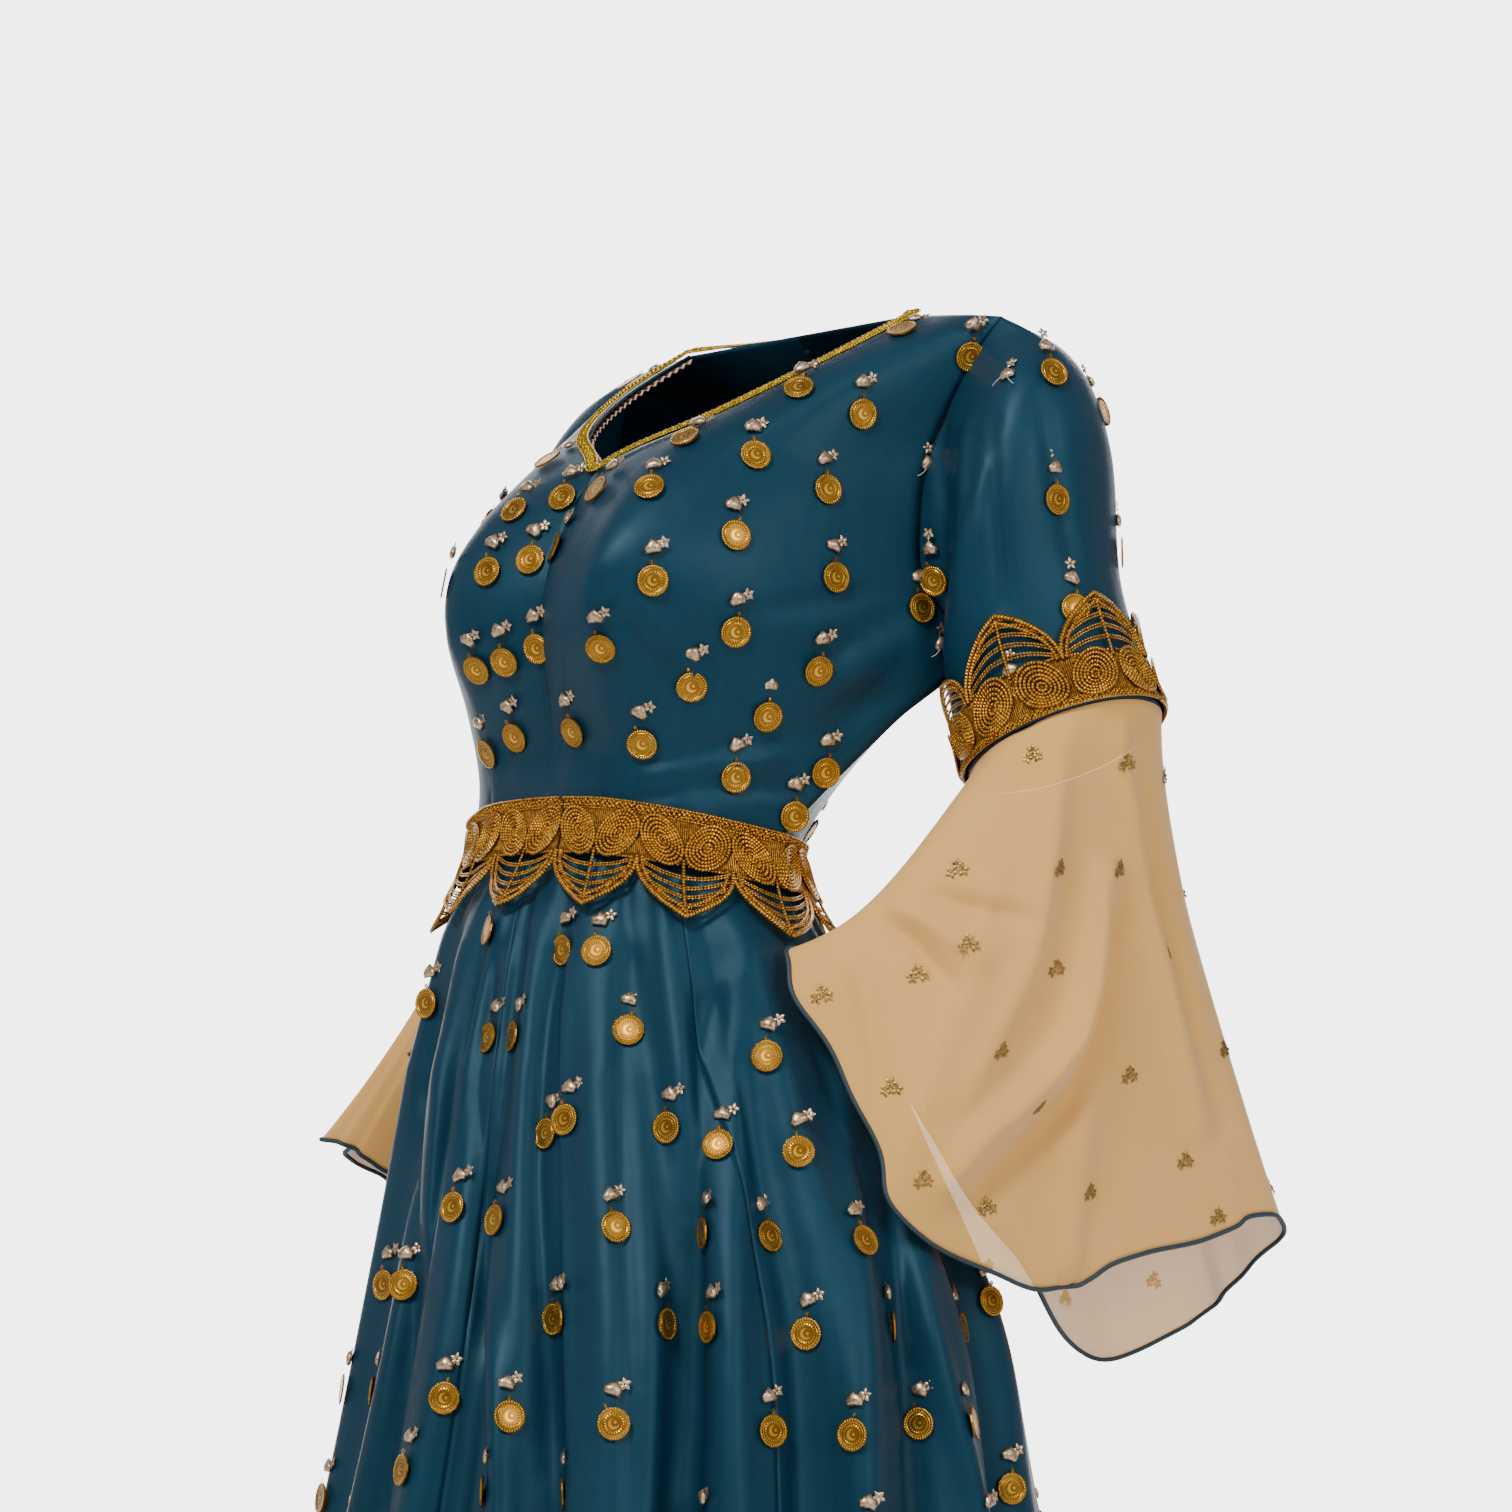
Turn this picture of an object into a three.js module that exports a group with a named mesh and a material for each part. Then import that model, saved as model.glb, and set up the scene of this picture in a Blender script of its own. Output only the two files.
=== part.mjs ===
// Embroidered party dress: a V-neck satin gown with a darted bodice, a pleated skirt, short sleeves with
// chiffon bell flounces, gold leaf lace at waist and sleeves, and coin pendants on the teal cloth.
// Millimetres, +Z up. The front faces -Y and the wearer's left is +X. The origin is midway between the
// shoulder points, where the wearer's shoulders carry the gown. The gown keeps its worn, hollow form.
import * as THREE from "three";

// Driving dimensions
const WAIST_Z = -396;
const HEM_Z = -1395;
const LEAN_X = -50;
const LEAN_Y = -117;
const SATIN = 1.3;
const CHIFFON = 1.0;
const SEAM_GAP = 0.4;
const ARMHOLE_GAP = 1.6;
const BODICE_ROWS = 18;
const HALF_COLUMNS = 8;
const SIDE_ROW = 3;
const V_ROW = 6;
const BACK_NECK_ROW = 7;
const NOTCH = 2;
const SLEEVE_ROWS = 6;
const SLEEVE_COLUMNS = 30;
const SKIRT_PANELS = 6;
const SKIRT_COLUMNS = 108;
const SKIRT_SPACING = [0, 0.035, 0.08, 0.14, 0.22, 0.36, 0.54, 0.76, 1];
const SKIRT_ROWS = SKIRT_SPACING.length - 1;
const SKIRT_EASE = 90;
const FOLD_BASE = -0.45;
const FLOUNCE_COLUMNS = 48;
const FLOUNCE_ROWS = 6;
const FLOUNCE_WAVES = 8;
const SLOW_WAVES = 5;
const SLOW_WAVE_SHARE = 0.5;
const SLOW_WAVE_START = 1.3;
const WAVE_GROWTH = 1.5;
const SAG_SHAPE = 1.3;
const SAG_REACH = 3;
const BRAID_WIDTH = 9;
const BRAID_LIFT = 2.9;
const BRAID_TILT = 1.5;
const BRAID_THICKNESS = 1.4;
const FACING_THICKNESS = 1;
const FACING_COLUMNS = 2;
const ROLL_RADIUS = 1.3;
const LACE_THICKNESS = 1.4;
const LACE_VALLEY = 40;
const LACE_TIP = 80;
const VEIN = 3;
const LACE_RIB = 1.6;
const LACE_RIM = 5;
const LEAF_SHAPE = 2.1;
const LACE_DIP = -0.8;
// Heights down one lace repeat: points of the leaf's outline, and where each vein meets rib and rim
const LEAF_HEIGHTS = [50, 60, 70];
const VEIN_STEPS = [{ rib: 38, out: 41 }, { rib: 47, out: 43.5 }, { rib: 56, out: 52 }, { rib: 65, out: 60 }];
const LAST_VEIN = { rib: 74, out: 68 };
const WINDOW_TOP = 2;
const WINDOW_FOOT = 1;
const WINDOW_LEAST = 3;
const WAIST_REPEATS = 12;
const WAIST_LACE_START = 0.5;
const SLEEVE_LACE_START = 0.33;
const WAIST_STEPS = 240;
const SLEEVE_REPEATS = 6;
const WAIST_LACE_ABOVE = 4;
const WAIST_LACE_HANG = 0.96;
const WAIST_LACE_CLEAR = 4.2;
const WAIST_LACE_FLARE = 0.1;
const WAIST_LACE_LEAN = 0.7;
const WAIST_ASPECT = 1.8;
const SLEEVE_LACE_CLEAR = 3.3;
const SLEEVE_LACE_UP = 2;
const SLEEVE_LACE_DROP = 75;
const SLEEVE_GAP = 0.8;
const ROLL_GAP = 0.8;

const material = (color, roughness, metalness) =>
  new THREE.MeshStandardMaterial({ color, roughness, metalness });
const teal = material(0x174a62, 0.42, 0);
const peach = material(0xdeb882, 0.85, 0);
const hemThread = material(0x3c505a, 0.7, 0);
const gold = material(0xc8963c, 0.35, 0.9);
const facingCloth = material(0xd7aa96, 0.75, 0);

// Half of the front, wearer's left: rows from the waist up, guide points from the centre to the side
const FRONT = [
  { row: "waist", centre: [0, -106, -368], quarter: [36, -104, -369],
    dart: [70, -94, -372], outer: [116, -62, -382], side: [145, 2, -396] },
  { row: "midriff", centre: [0, -112, -334], quarter: [37, -113, -334],
    dart: [74, -107, -336], outer: [119, -70, -346], side: [148, 4, -358] },
  { row: "under bust", centre: [0, -134, -292], quarter: [40, -142, -292],
    dart: [80, -138, -292], outer: [127, -88, -298], side: [153, 7, -308] },
  { row: "underarm", centre: [0, -159, -248], quarter: [44, -175, -246],
    dart: [86, -175, -244], outer: [135, -108, -248], side: [160, 12, -258] },
  { row: "apex", centre: [0, -170, -206], quarter: [46, -187, -204],
    dart: [90, -187, -200], outer: [138, -111, -202], side: [165, 10, -208] },
  { row: "upper bust", centre: [0, -166, -164], quarter: [46, -180, -162],
    dart: [90, -174, -158], outer: [137, -102, -158], side: [166, 6, -160] },
  { row: "V point", centre: [0, -152, -122], quarter: [46, -156, -119],
    dart: [90, -144, -116], outer: [132, -92, -114], side: [166, 4, -114] },
  { row: "chest", centre: [64, -116, -86], quarter: [84, -110, -82],
    dart: [108, -98, -78], outer: [140, -66, -72], side: [170, 4, -68] },
  { row: "upper chest", centre: [102, -60, -44], quarter: [116, -56, -42],
    dart: [134, -48, -40], outer: [156, -30, -37], side: [181, 6, -34] },
  { row: "shoulder", centre: [116, 2, -2], quarter: [134, 4, -4],
    dart: [154, 6, -6], outer: [174, 8, -8], side: [196, 10, -11] },
];
// Half of the back, wearer's left, with the same row heights
const BACK = [
  { row: "waist", centre: [0, 88, -408], quarter: [40, 85, -407],
    dart: [78, 74, -405], outer: [118, 50, -401], side: [145, 2, -396] },
  { row: "midriff", centre: [0, 84, -362], quarter: [40, 84, -362],
    dart: [80, 76, -361], outer: [121, 52, -360], side: [148, 4, -358] },
  { row: "under bust", centre: [0, 82, -308], quarter: [42, 86, -308],
    dart: [84, 82, -308], outer: [127, 60, -308], side: [153, 7, -308] },
  { row: "underarm", centre: [0, 84, -258], quarter: [42, 92, -258],
    dart: [86, 92, -258], outer: [132, 74, -258], side: [160, 12, -258] },
  { row: "apex", centre: [0, 88, -208], quarter: [42, 97, -208],
    dart: [88, 97, -208], outer: [136, 88, -208], side: [166, 62, -208] },
  { row: "blade", centre: [0, 92, -160], quarter: [42, 101, -160],
    dart: [88, 101, -160], outer: [134, 98, -160], side: [164, 82, -160] },
  { row: "upper blade", centre: [0, 92, -116], quarter: [42, 101, -115],
    dart: [88, 102, -114], outer: [132, 99, -114], side: [163, 86, -114] },
  { row: "yoke", centre: [0, 82, -52], quarter: [46, 90, -58],
    dart: [88, 92, -62], outer: [130, 90, -66], side: [166, 78, -70] },
  { row: "neck", centre: [84, 68, -40], quarter: [102, 67, -38],
    dart: [122, 66, -36], outer: [149, 62, -35], side: [178, 52, -34] },
  { row: "shoulder", centre: [116, 2, -2], quarter: [134, 4, -4],
    dart: [154, 6, -6], outer: [174, 8, -8], side: [196, 10, -11] },
];
// The wearer's left arm is lifted and draws the cloth of that side out and back, by row from the waist
const LEFT_PULL = [
  { out: 0, back: 0 }, { out: 10, back: 20 }, { out: 24, back: 48 }, { out: 36, back: 76 },
  { out: 14, back: 30 }, { out: 4, back: 18 }, { out: 0, back: 14 }, { out: 3, back: 14 },
  { out: 3, back: 12 }, { out: 0, back: 10 },
];
const PULL_SHARE = { centre: 0, quarter: 0, dart: 0.08, outer: 0.45, side: 1 };
const GUIDES = ["centre", "quarter", "dart", "outer", "side"];

// Sleeve rings below the armhole: middle of the ring, half widths along X and Y, how its plane rises
// outwards and backwards, and how far its outer side stands back
const LEFT_SLEEVE = [
  { ring: "head", x: 200, y: 30, z: -150, wide: 33, deep: 62, riseOut: 3.45, riseBack: 0.05, setBack: 0 },
  { ring: "cap", x: 204, y: 34, z: -188, wide: 53, deep: 72, riseOut: 1.85, riseBack: 0.06, setBack: 0 },
  { ring: "biceps", x: 206, y: 41, z: -257, wide: 56, deep: 70, riseOut: 1.05, riseBack: 0.05, setBack: 0 },
  { ring: "seam", x: 222, y: 53, z: -326, wide: 68, deep: 73, riseOut: 0.44, riseBack: 0.02, setBack: 0 },
];
const RIGHT_SLEEVE = [
  { ring: "head", x: -218, y: -12, z: -150, wide: 20, deep: 50, riseOut: 5.8, riseBack: 0.05, setBack: 0.9 },
  { ring: "cap", x: -231, y: -10, z: -184, wide: 34, deep: 62, riseOut: 2.95, riseBack: 0.05, setBack: 0.5 },
  { ring: "biceps", x: -247, y: 2, z: -256, wide: 47, deep: 67, riseOut: 1.0, riseBack: 0.05, setBack: 0 },
  { ring: "seam", x: -260, y: 12, z: -328, wide: 50, deep: 72, riseOut: 0.35, riseBack: 0.05, setBack: 0 },
];

// Hem of each flounce at eight guide lines, counted from the front round the outside
const LEFT_HEM = [
  { guide: "front", x: 132, y: -124, z: -476 },
  { guide: "front outer", x: 192, y: -112, z: -640 },
  { guide: "outer", x: 214, y: 20, z: -716 },
  { guide: "outer back", x: 240, y: 138, z: -690 },
  { guide: "back", x: 252, y: 262, z: -668 },
  { guide: "back inner", x: 168, y: 286, z: -735 },
  { guide: "inner", x: 124, y: 196, z: -776 },
  { guide: "inner front", x: 150, y: 70, z: -690 },
];
const RIGHT_HEM = [
  { guide: "front", x: -318, y: -186, z: -612 },
  { guide: "front outer", x: -362, y: -138, z: -620 },
  { guide: "outer", x: -380, y: -70, z: -650 },
  { guide: "outer back", x: -368, y: -5, z: -690 },
  { guide: "back", x: -336, y: 26, z: -715 },
  { guide: "back inner", x: -305, y: -10, z: -715 },
  { guide: "inner", x: -298, y: -75, z: -690 },
  { guide: "inner front", x: -298, y: -140, z: -640 },
];

// Skirt sections: middle and half widths of the ring at each height, and the depth of its folds
const SKIRT = [
  { ring: "waist", z: -345, x: 0, y: -8, wide: 138, deep: 90, fold: 0 },
  { ring: "high hip", z: -460, x: 2, y: -4, wide: 162, deep: 120, fold: 7 },
  { ring: "hip", z: -560, x: 8, y: 6, wide: 188, deep: 154, fold: 14 },
  { ring: "thigh", z: -740, x: 26, y: 24, wide: 232, deep: 212, fold: 20 },
  { ring: "knee", z: -920, x: 26, y: 26, wide: 261, deep: 250, fold: 25 },
  { ring: "calf", z: -1150, x: 32, y: 34, wide: 312, deep: 306, fold: 30 },
  { ring: "hem", z: HEM_Z, x: 35, y: 38, wide: 360, deep: 356, fold: 36 },
];
// Folds round the skirt: direction of each ridge in degrees from the front, towards the wearer's left
const FOLDS = [
  { at: -174, height: 1.0, width: 13 }, { at: -152, height: 0.8, width: 12 },
  { at: -131, height: 1.1, width: 13 }, { at: -109, height: 0.9, width: 12 },
  { at: -88, height: 1.1, width: 13 }, { at: -67, height: 0.9, width: 12 },
  { at: -46, height: 1.2, width: 13 }, { at: -26, height: 0.9, width: 11 },
  { at: -7, height: 1.1, width: 12 }, { at: 13, height: 0.9, width: 12 },
  { at: 34, height: 1.2, width: 13 }, { at: 55, height: 1.0, width: 12 },
  { at: 76, height: 1.2, width: 13 }, { at: 97, height: 0.9, width: 12 },
  { at: 119, height: 1.1, width: 13 }, { at: 141, height: 0.9, width: 13 },
  { at: 163, height: 1.0, width: 12 },
];

const vec = (a) => new THREE.Vector3(a[0], a[1], a[2]);
const wrap = (i, n) => ((i % n) + n) % n;
const wrapDegrees = (d) => (((d + 180) % 360) + 360) % 360 - 180;

// Smooth value through equally spaced vectors, at t in steps of one
function along(points, t, closed = false) {
  const n = points.length;
  const i = closed ? Math.floor(t) : Math.min(Math.floor(t), n - 2);
  const f = t - i;
  const at = (k) => (closed ? points[wrap(k, n)] : points[Math.max(0, Math.min(n - 1, k))]);
  const [a, b, c, d] = [at(i - 1), at(i), at(i + 1), at(i + 2)];
  const w = [
    ((-f + 2) * f - 1) * f / 2, ((3 * f - 5) * f * f + 2) / 2,
    ((-3 * f + 4) * f + 1) * f / 2, ((f - 1) * f * f) / 2,
  ];
  return new THREE.Vector3().addScaledVector(a, w[0]).addScaledVector(b, w[1])
    .addScaledVector(c, w[2]).addScaledVector(d, w[3]);
}

// The upper body stands back and to the wearer's left of the hips
function lean(p) {
  const share = Math.min(Math.max(-p.z / -WAIST_Z, 0), 1);
  return new THREE.Vector3(p.x + LEAN_X * share, p.y + LEAN_Y * share, p.z);
}

// Grid of points on one half of the front or back, side = 1 for the wearer's left
function halfPanel(table, side) {
  const rows = [];
  for (let j = 0; j <= BODICE_ROWS; j++) {
    const t = (j / BODICE_ROWS) * (table.length - 1);
    const guides = GUIDES.map((g) => along(table.map((r, k) => {
      const share = side > 0 ? PULL_SHARE[g] : 0;
      return vec(r[g]).add(new THREE.Vector3(LEFT_PULL[k].out * share, LEFT_PULL[k].back * share, 0));
    }), t));
    const line = [];
    for (let i = 0; i <= HALF_COLUMNS; i++) {
      const p = along(guides, (i / HALF_COLUMNS) * (GUIDES.length - 1));
      if (i === 0) p.x = Math.max(p.x, 0);
      p.x *= side;
      line.push(lean(p));
    }
    rows.push(line);
  }
  return rows;
}

// Normals of a grid, from the faces round each point; split names the column after which a row is open
function gridNormals(rows, closed = false, split = () => -1) {
  const h = rows.length;
  const w = rows[0].length;
  return rows.map((line, j) => line.map((p, i) => {
    const first = split(j) === i - 1 ? i : Math.max(i - 1, 0);
    const last = split(j) === i ? i : Math.min(i + 1, w - 1);
    const left = closed ? line[wrap(i - 1, w)] : line[first];
    const right = closed ? line[wrap(i + 1, w)] : line[last];
    const up = rows[Math.min(j + 1, h - 1)][i];
    const down = rows[Math.max(j - 1, 0)][i];
    const across = new THREE.Vector3().subVectors(right, left);
    return across.cross(new THREE.Vector3().subVectors(up, down)).normalize();
  }));
}

// Closed wall from a grid: outer points, a copy moved in along the normals, and the rims between them
function wall(rows, normals, thickness, options = {}) {
  const { closed = false, keep = () => true, lift = 0 } = options;
  const h = rows.length;
  const w = rows[0].length;
  const positions = [];
  const index = (layer, j, i) => (layer * h + j) * w + wrap(i, w);
  for (const depth of [lift, lift - thickness]) {
    for (let j = 0; j < h; j++) {
      for (let i = 0; i < w; i++) {
        const p = rows[j][i].clone().addScaledVector(normals[j][i], depth);
        positions.push(p.x, p.y, p.z);
      }
    }
  }
  const spans = closed ? w : w - 1;
  const has = (j, i) => {
    if (j < 0 || j >= h - 1) return false;
    if (!closed && (i < 0 || i >= spans)) return false;
    return keep(j, wrap(i, w));
  };
  const faces = [];
  const quad = (a, b, c, d) => faces.push(a, b, c, a, c, d);
  for (let j = 0; j < h - 1; j++) {
    for (let i = 0; i < spans; i++) {
      if (!has(j, i)) continue;
      const o = [index(0, j, i), index(0, j, i + 1), index(0, j + 1, i + 1), index(0, j + 1, i)];
      const n = [index(1, j, i), index(1, j, i + 1), index(1, j + 1, i + 1), index(1, j + 1, i)];
      quad(o[0], o[1], o[2], o[3]);
      quad(n[0], n[3], n[2], n[1]);
      if (!has(j - 1, i)) quad(o[1], o[0], n[0], n[1]);
      if (!has(j + 1, i)) quad(o[3], o[2], n[2], n[3]);
      if (!has(j, i - 1)) quad(o[0], o[3], n[3], n[0]);
      if (!has(j, i + 1)) quad(o[2], o[1], n[1], n[2]);
    }
  }
  return geometryOf(positions, faces);
}

// Geometry that keeps only the points in use, with its faces pointing out
function geometryOf(positions, faces) {
  const used = new Map();
  const compact = [];
  const order = faces.map((k) => {
    if (!used.has(k)) {
      used.set(k, used.size);
      compact.push(positions[3 * k], positions[3 * k + 1], positions[3 * k + 2]);
    }
    return used.get(k);
  });
  let volume = 0;
  const corner = (k) => new THREE.Vector3(compact[3 * k], compact[3 * k + 1], compact[3 * k + 2]);
  for (let f = 0; f < order.length; f += 3) {
    volume += corner(order[f]).dot(corner(order[f + 1]).cross(corner(order[f + 2])));
  }
  if (volume < 0) {
    for (let f = 0; f < order.length; f += 3) {
      [order[f + 1], order[f + 2]] = [order[f + 2], order[f + 1]];
    }
  }
  const geometry = new THREE.BufferGeometry();
  geometry.setAttribute("position", new THREE.Float32BufferAttribute(compact, 3));
  geometry.setIndex(order);
  return geometry;
}

const dress = new THREE.Group();
dress.name = "embroidered_party_dress";

function add(name, geometry, finish) {
  const mesh = new THREE.Mesh(geometry, finish);
  mesh.name = name;
  dress.add(mesh);
  return mesh;
}

const rowOf = (tableRow) => Math.round(tableRow / (FRONT.length - 1) * BODICE_ROWS);
const vRow = rowOf(V_ROW);
const sideRow = rowOf(SIDE_ROW);

// The four quarters of the bodice, and normals shared where they meet
const frontLeft = halfPanel(FRONT, 1);
const frontRight = halfPanel(FRONT, -1);
const backLeft = halfPanel(BACK, 1);
const backRight = halfPanel(BACK, -1);
for (let j = 0; j <= sideRow; j++) {
  backLeft[j][HALF_COLUMNS].copy(frontLeft[j][HALF_COLUMNS]);
  backRight[j][HALF_COLUMNS].copy(frontRight[j][HALF_COLUMNS]);
}

// Full width of the front from the right side to the left, with a narrow strip at the centre
function joinFront() {
  return frontLeft.map((line, j) => {
    const left = line.map((p) => p.clone());
    const right = frontRight[j].map((p) => p.clone());
    left[0].x += NOTCH;
    right[0].x -= NOTCH;
    return [...right.reverse(), ...left];
  });
}

const frontRows = joinFront();
const frontNormals = gridNormals(frontRows, false, (j) => (j > vRow ? HALF_COLUMNS : -1));
const backLeftRows = backLeft.map((line) => line.slice().reverse());
const backLeftNormals = gridNormals(backLeftRows);
const backRightRows = backRight;
const backRightNormals = gridNormals(backRightRows);

// Where front and back meet, at the sides and the shoulders, both take the same normal
function shareNormals() {
  const last = 2 * HALF_COLUMNS + 1;
  for (let j = 0; j <= BODICE_ROWS; j++) {
    const pairs = [];
    if (j <= sideRow) {
      pairs.push([frontNormals[j][last], backLeftNormals[j][0]]);
      pairs.push([frontNormals[j][0], backRightNormals[j][HALF_COLUMNS]]);
    }
    if (j === BODICE_ROWS) {
      for (let i = 0; i <= HALF_COLUMNS; i++) {
        pairs.push([frontNormals[j][HALF_COLUMNS + 1 + i], backLeftNormals[j][HALF_COLUMNS - i]]);
        pairs.push([frontNormals[j][HALF_COLUMNS - i], backRightNormals[j][i]]);
      }
    }
    for (const [a, b] of pairs) {
      const both = a.clone().add(b).normalize();
      a.copy(both);
      b.copy(both);
    }
    backLeftNormals[j][HALF_COLUMNS].x = 0;
    backRightNormals[j][0].x = 0;
    backLeftNormals[j][HALF_COLUMNS].normalize();
    backRightNormals[j][0].normalize();
  }
}
shareNormals();

// Pull the rim of a grid in by half a seam gap on the sides that are sewn
function trimmed(rows, amount) {
  const h = rows.length;
  const w = rows[0].length;
  const out = rows.map((line) => line.map((p) => p.clone()));
  const shift = (p, q) => p.addScaledVector(new THREE.Vector3().subVectors(q, p).normalize(), amount);
  for (let j = 0; j < h; j++) {
    shift(out[j][0], rows[j][1]);
    shift(out[j][w - 1], rows[j][w - 2]);
  }
  for (let i = 0; i < w; i++) {
    shift(out[0][i], rows[1][i]);
    shift(out[h - 1][i], rows[h - 2][i]);
  }
  return out;
}

const neckOpen = (j, i) => !(i === HALF_COLUMNS && j >= vRow);
const backNeckRow = rowOf(BACK_NECK_ROW);

add("bodice_front", wall(trimmed(frontRows, SEAM_GAP / 2), frontNormals, SATIN, { keep: neckOpen }), teal);
add("bodice_back_left", wall(trimmed(backLeftRows, SEAM_GAP / 2), backLeftNormals, SATIN), teal);
add("bodice_back_right", wall(trimmed(backRightRows, SEAM_GAP / 2), backRightNormals, SATIN), teal);

// Armhole loop of one side, from the underarm up the front, over the shoulder and down the back
function armhole(side) {
  const front = side > 0 ? frontLeft : frontRight;
  const back = side > 0 ? backLeft : backRight;
  const start = sideRow;
  const loop = [];
  for (let j = start; j <= BODICE_ROWS; j++) loop.push(front[j][HALF_COLUMNS].clone());
  for (let j = BODICE_ROWS - 1; j > start; j--) loop.push(back[j][HALF_COLUMNS].clone());
  return loop;
}

// Points at equal steps round a closed loop
function evenLoop(loop, count) {
  const lengths = [0];
  for (let k = 0; k < loop.length; k++) {
    lengths.push(lengths[k] + loop[k].distanceTo(loop[(k + 1) % loop.length]));
  }
  const total = lengths[loop.length];
  const out = [];
  for (let c = 0; c < count; c++) {
    const goal = (c / count) * total;
    let k = 0;
    while (lengths[k + 1] < goal) k++;
    const f = (goal - lengths[k]) / (lengths[k + 1] - lengths[k]);
    out.push(loop[k].clone().lerp(loop[(k + 1) % loop.length], f));
  }
  return out;
}

// Point on a sleeve ring; turn 0 is the underarm, then the front, the outside and the back
function ringPoint(ring, turn, side) {
  const angle = turn * 2 * Math.PI;
  const across = -Math.cos(angle) * side;
  const forward = -Math.sin(angle);
  const x = across * ring.wide;
  const y = forward * ring.deep;
  const out = side * x;
  const z = ring.z + out * ring.riseOut + y * ring.riseBack;
  return new THREE.Vector3(ring.x + x, ring.y + y + out * ring.setBack, z);
}

function sleeveRows(side, rings) {
  const top = evenLoop(armhole(side), SLEEVE_COLUMNS);
  const rows = [];
  const middle = top.reduce((s, p) => s.add(p), new THREE.Vector3()).divideScalar(top.length);
  for (let j = 0; j <= SLEEVE_ROWS; j++) {
    const t = (j / SLEEVE_ROWS) * rings.length;
    rows.push(top.map((p, c) => {
      const guides = [p, ...rings.map((r) => ringPoint(r, c / SLEEVE_COLUMNS, side))];
      return along(guides, Math.min(t, rings.length));
    }));
  }
  const head = new THREE.Vector3(rings[0].x, rings[0].y, middle.z);
  const away = head.sub(middle).normalize();
  rows[0] = rows[0].map((p) => p.clone().addScaledVector(away, ARMHOLE_GAP));
  return rows.reverse();
}

const sleeves = {};
for (const [name, side, rings] of [["left", 1, LEFT_SLEEVE], ["right", -1, RIGHT_SLEEVE]]) {
  const rows = sleeveRows(side, rings);
  const ordered = side > 0 ? rows : rows.map((line) => [line[0], ...line.slice(1).reverse()]);
  const normals = gridNormals(ordered, true);
  sleeves[name] = { rows: ordered, normals };
  add(`sleeve_${name}`, wall(ordered, normals, SATIN, { closed: true }), teal);
}

// Rings of a flounce from the sleeve seam down to its waved hem; late is how far down the cloth moves aside
function flounceRows({ side, rings, hem, sag, wave: height, late }) {
  const seamRing = rings[rings.length - 1];
  const rows = [];
  const hemPoints = hem.map((g) => new THREE.Vector3(g.x, g.y, g.z));
  for (let j = 0; j <= FLOUNCE_ROWS; j++) {
    const t = j / FLOUNCE_ROWS;
    const line = [];
    for (let c = 0; c < FLOUNCE_COLUMNS; c++) {
      const turn = c / FLOUNCE_COLUMNS;
      const angle = turn * 2 * Math.PI;
      const top = ringPoint({ ...seamRing, z: seamRing.z - SLEEVE_GAP }, turn + 0.25, side);
      const bottom = along(hemPoints, turn * hemPoints.length, true);
      const shift = t ** (late.middle + late.outside * Math.sin(angle));
      const p = new THREE.Vector3(
        top.x + (bottom.x - top.x) * shift, top.y + (bottom.y - top.y) * shift,
        top.z + (bottom.z - top.z) * t);
      p.z -= sag * Math.sin(Math.PI * t ** SAG_SHAPE) * Math.max(Math.cos(angle), 0) ** SAG_REACH;
      const out = new THREE.Vector3(p.x - seamRing.x, p.y - seamRing.y, 0).normalize();
      const slow = SLOW_WAVE_SHARE * Math.sin(angle * SLOW_WAVES + SLOW_WAVE_START);
      const wave = Math.sin(angle * FLOUNCE_WAVES) + slow;
      p.addScaledVector(out, height * wave * t ** WAVE_GROWTH);
      line.push(p);
    }
    rows.push(side > 0 ? line : [line[0], ...line.slice(1).reverse()]);
  }
  return rows.reverse();
}

// Closed roll of four sides that follows a loop, held off it by a small gap
function roll(loop, downs, normals, radius) {
  const n = loop.length;
  const rows = [[1, 0], [0, 1], [-1, 0], [0, -1]].map(([a, b]) => loop.map((p, c) => p.clone()
    .addScaledVector(downs[c], ROLL_GAP + radius + a * radius).addScaledVector(normals[c], b * radius)));
  const positions = rows.flat().flatMap((p) => [p.x, p.y, p.z]);
  const faces = [];
  for (let k = 0; k < 4; k++) {
    for (let c = 0; c < n; c++) {
      const [a, b] = [k * n + c, k * n + wrap(c + 1, n)];
      const [d, e] = [wrap(k + 1, 4) * n + c, wrap(k + 1, 4) * n + wrap(c + 1, n)];
      faces.push(a, b, e, a, e, d);
    }
  }
  return geometryOf(positions, faces);
}

const FLOUNCES = [
  { name: "left", side: 1, rings: LEFT_SLEEVE, hem: LEFT_HEM, sag: 24, wave: 9,
    late: { middle: 0.94, outside: -0.12 } },
  { name: "right", side: -1, rings: RIGHT_SLEEVE, hem: RIGHT_HEM, sag: 0, wave: 5,
    late: { middle: 1.5, outside: 0.8 } },
];
for (const f of FLOUNCES) {
  const rows = flounceRows(f);
  const normals = gridNormals(rows, true);
  add(`flounce_${f.name}`, wall(rows, normals, CHIFFON, { closed: true }), peach);
  const downs = rows[0].map((p, c) => new THREE.Vector3().subVectors(p, rows[1][c]).normalize());
  const middle = rows[0].map((p, c) => p.clone().addScaledVector(normals[0][c], -CHIFFON / 2));
  add(`flounce_edge_${f.name}`, roll(middle, downs, normals[0], ROLL_RADIUS), hemThread);
}

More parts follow.
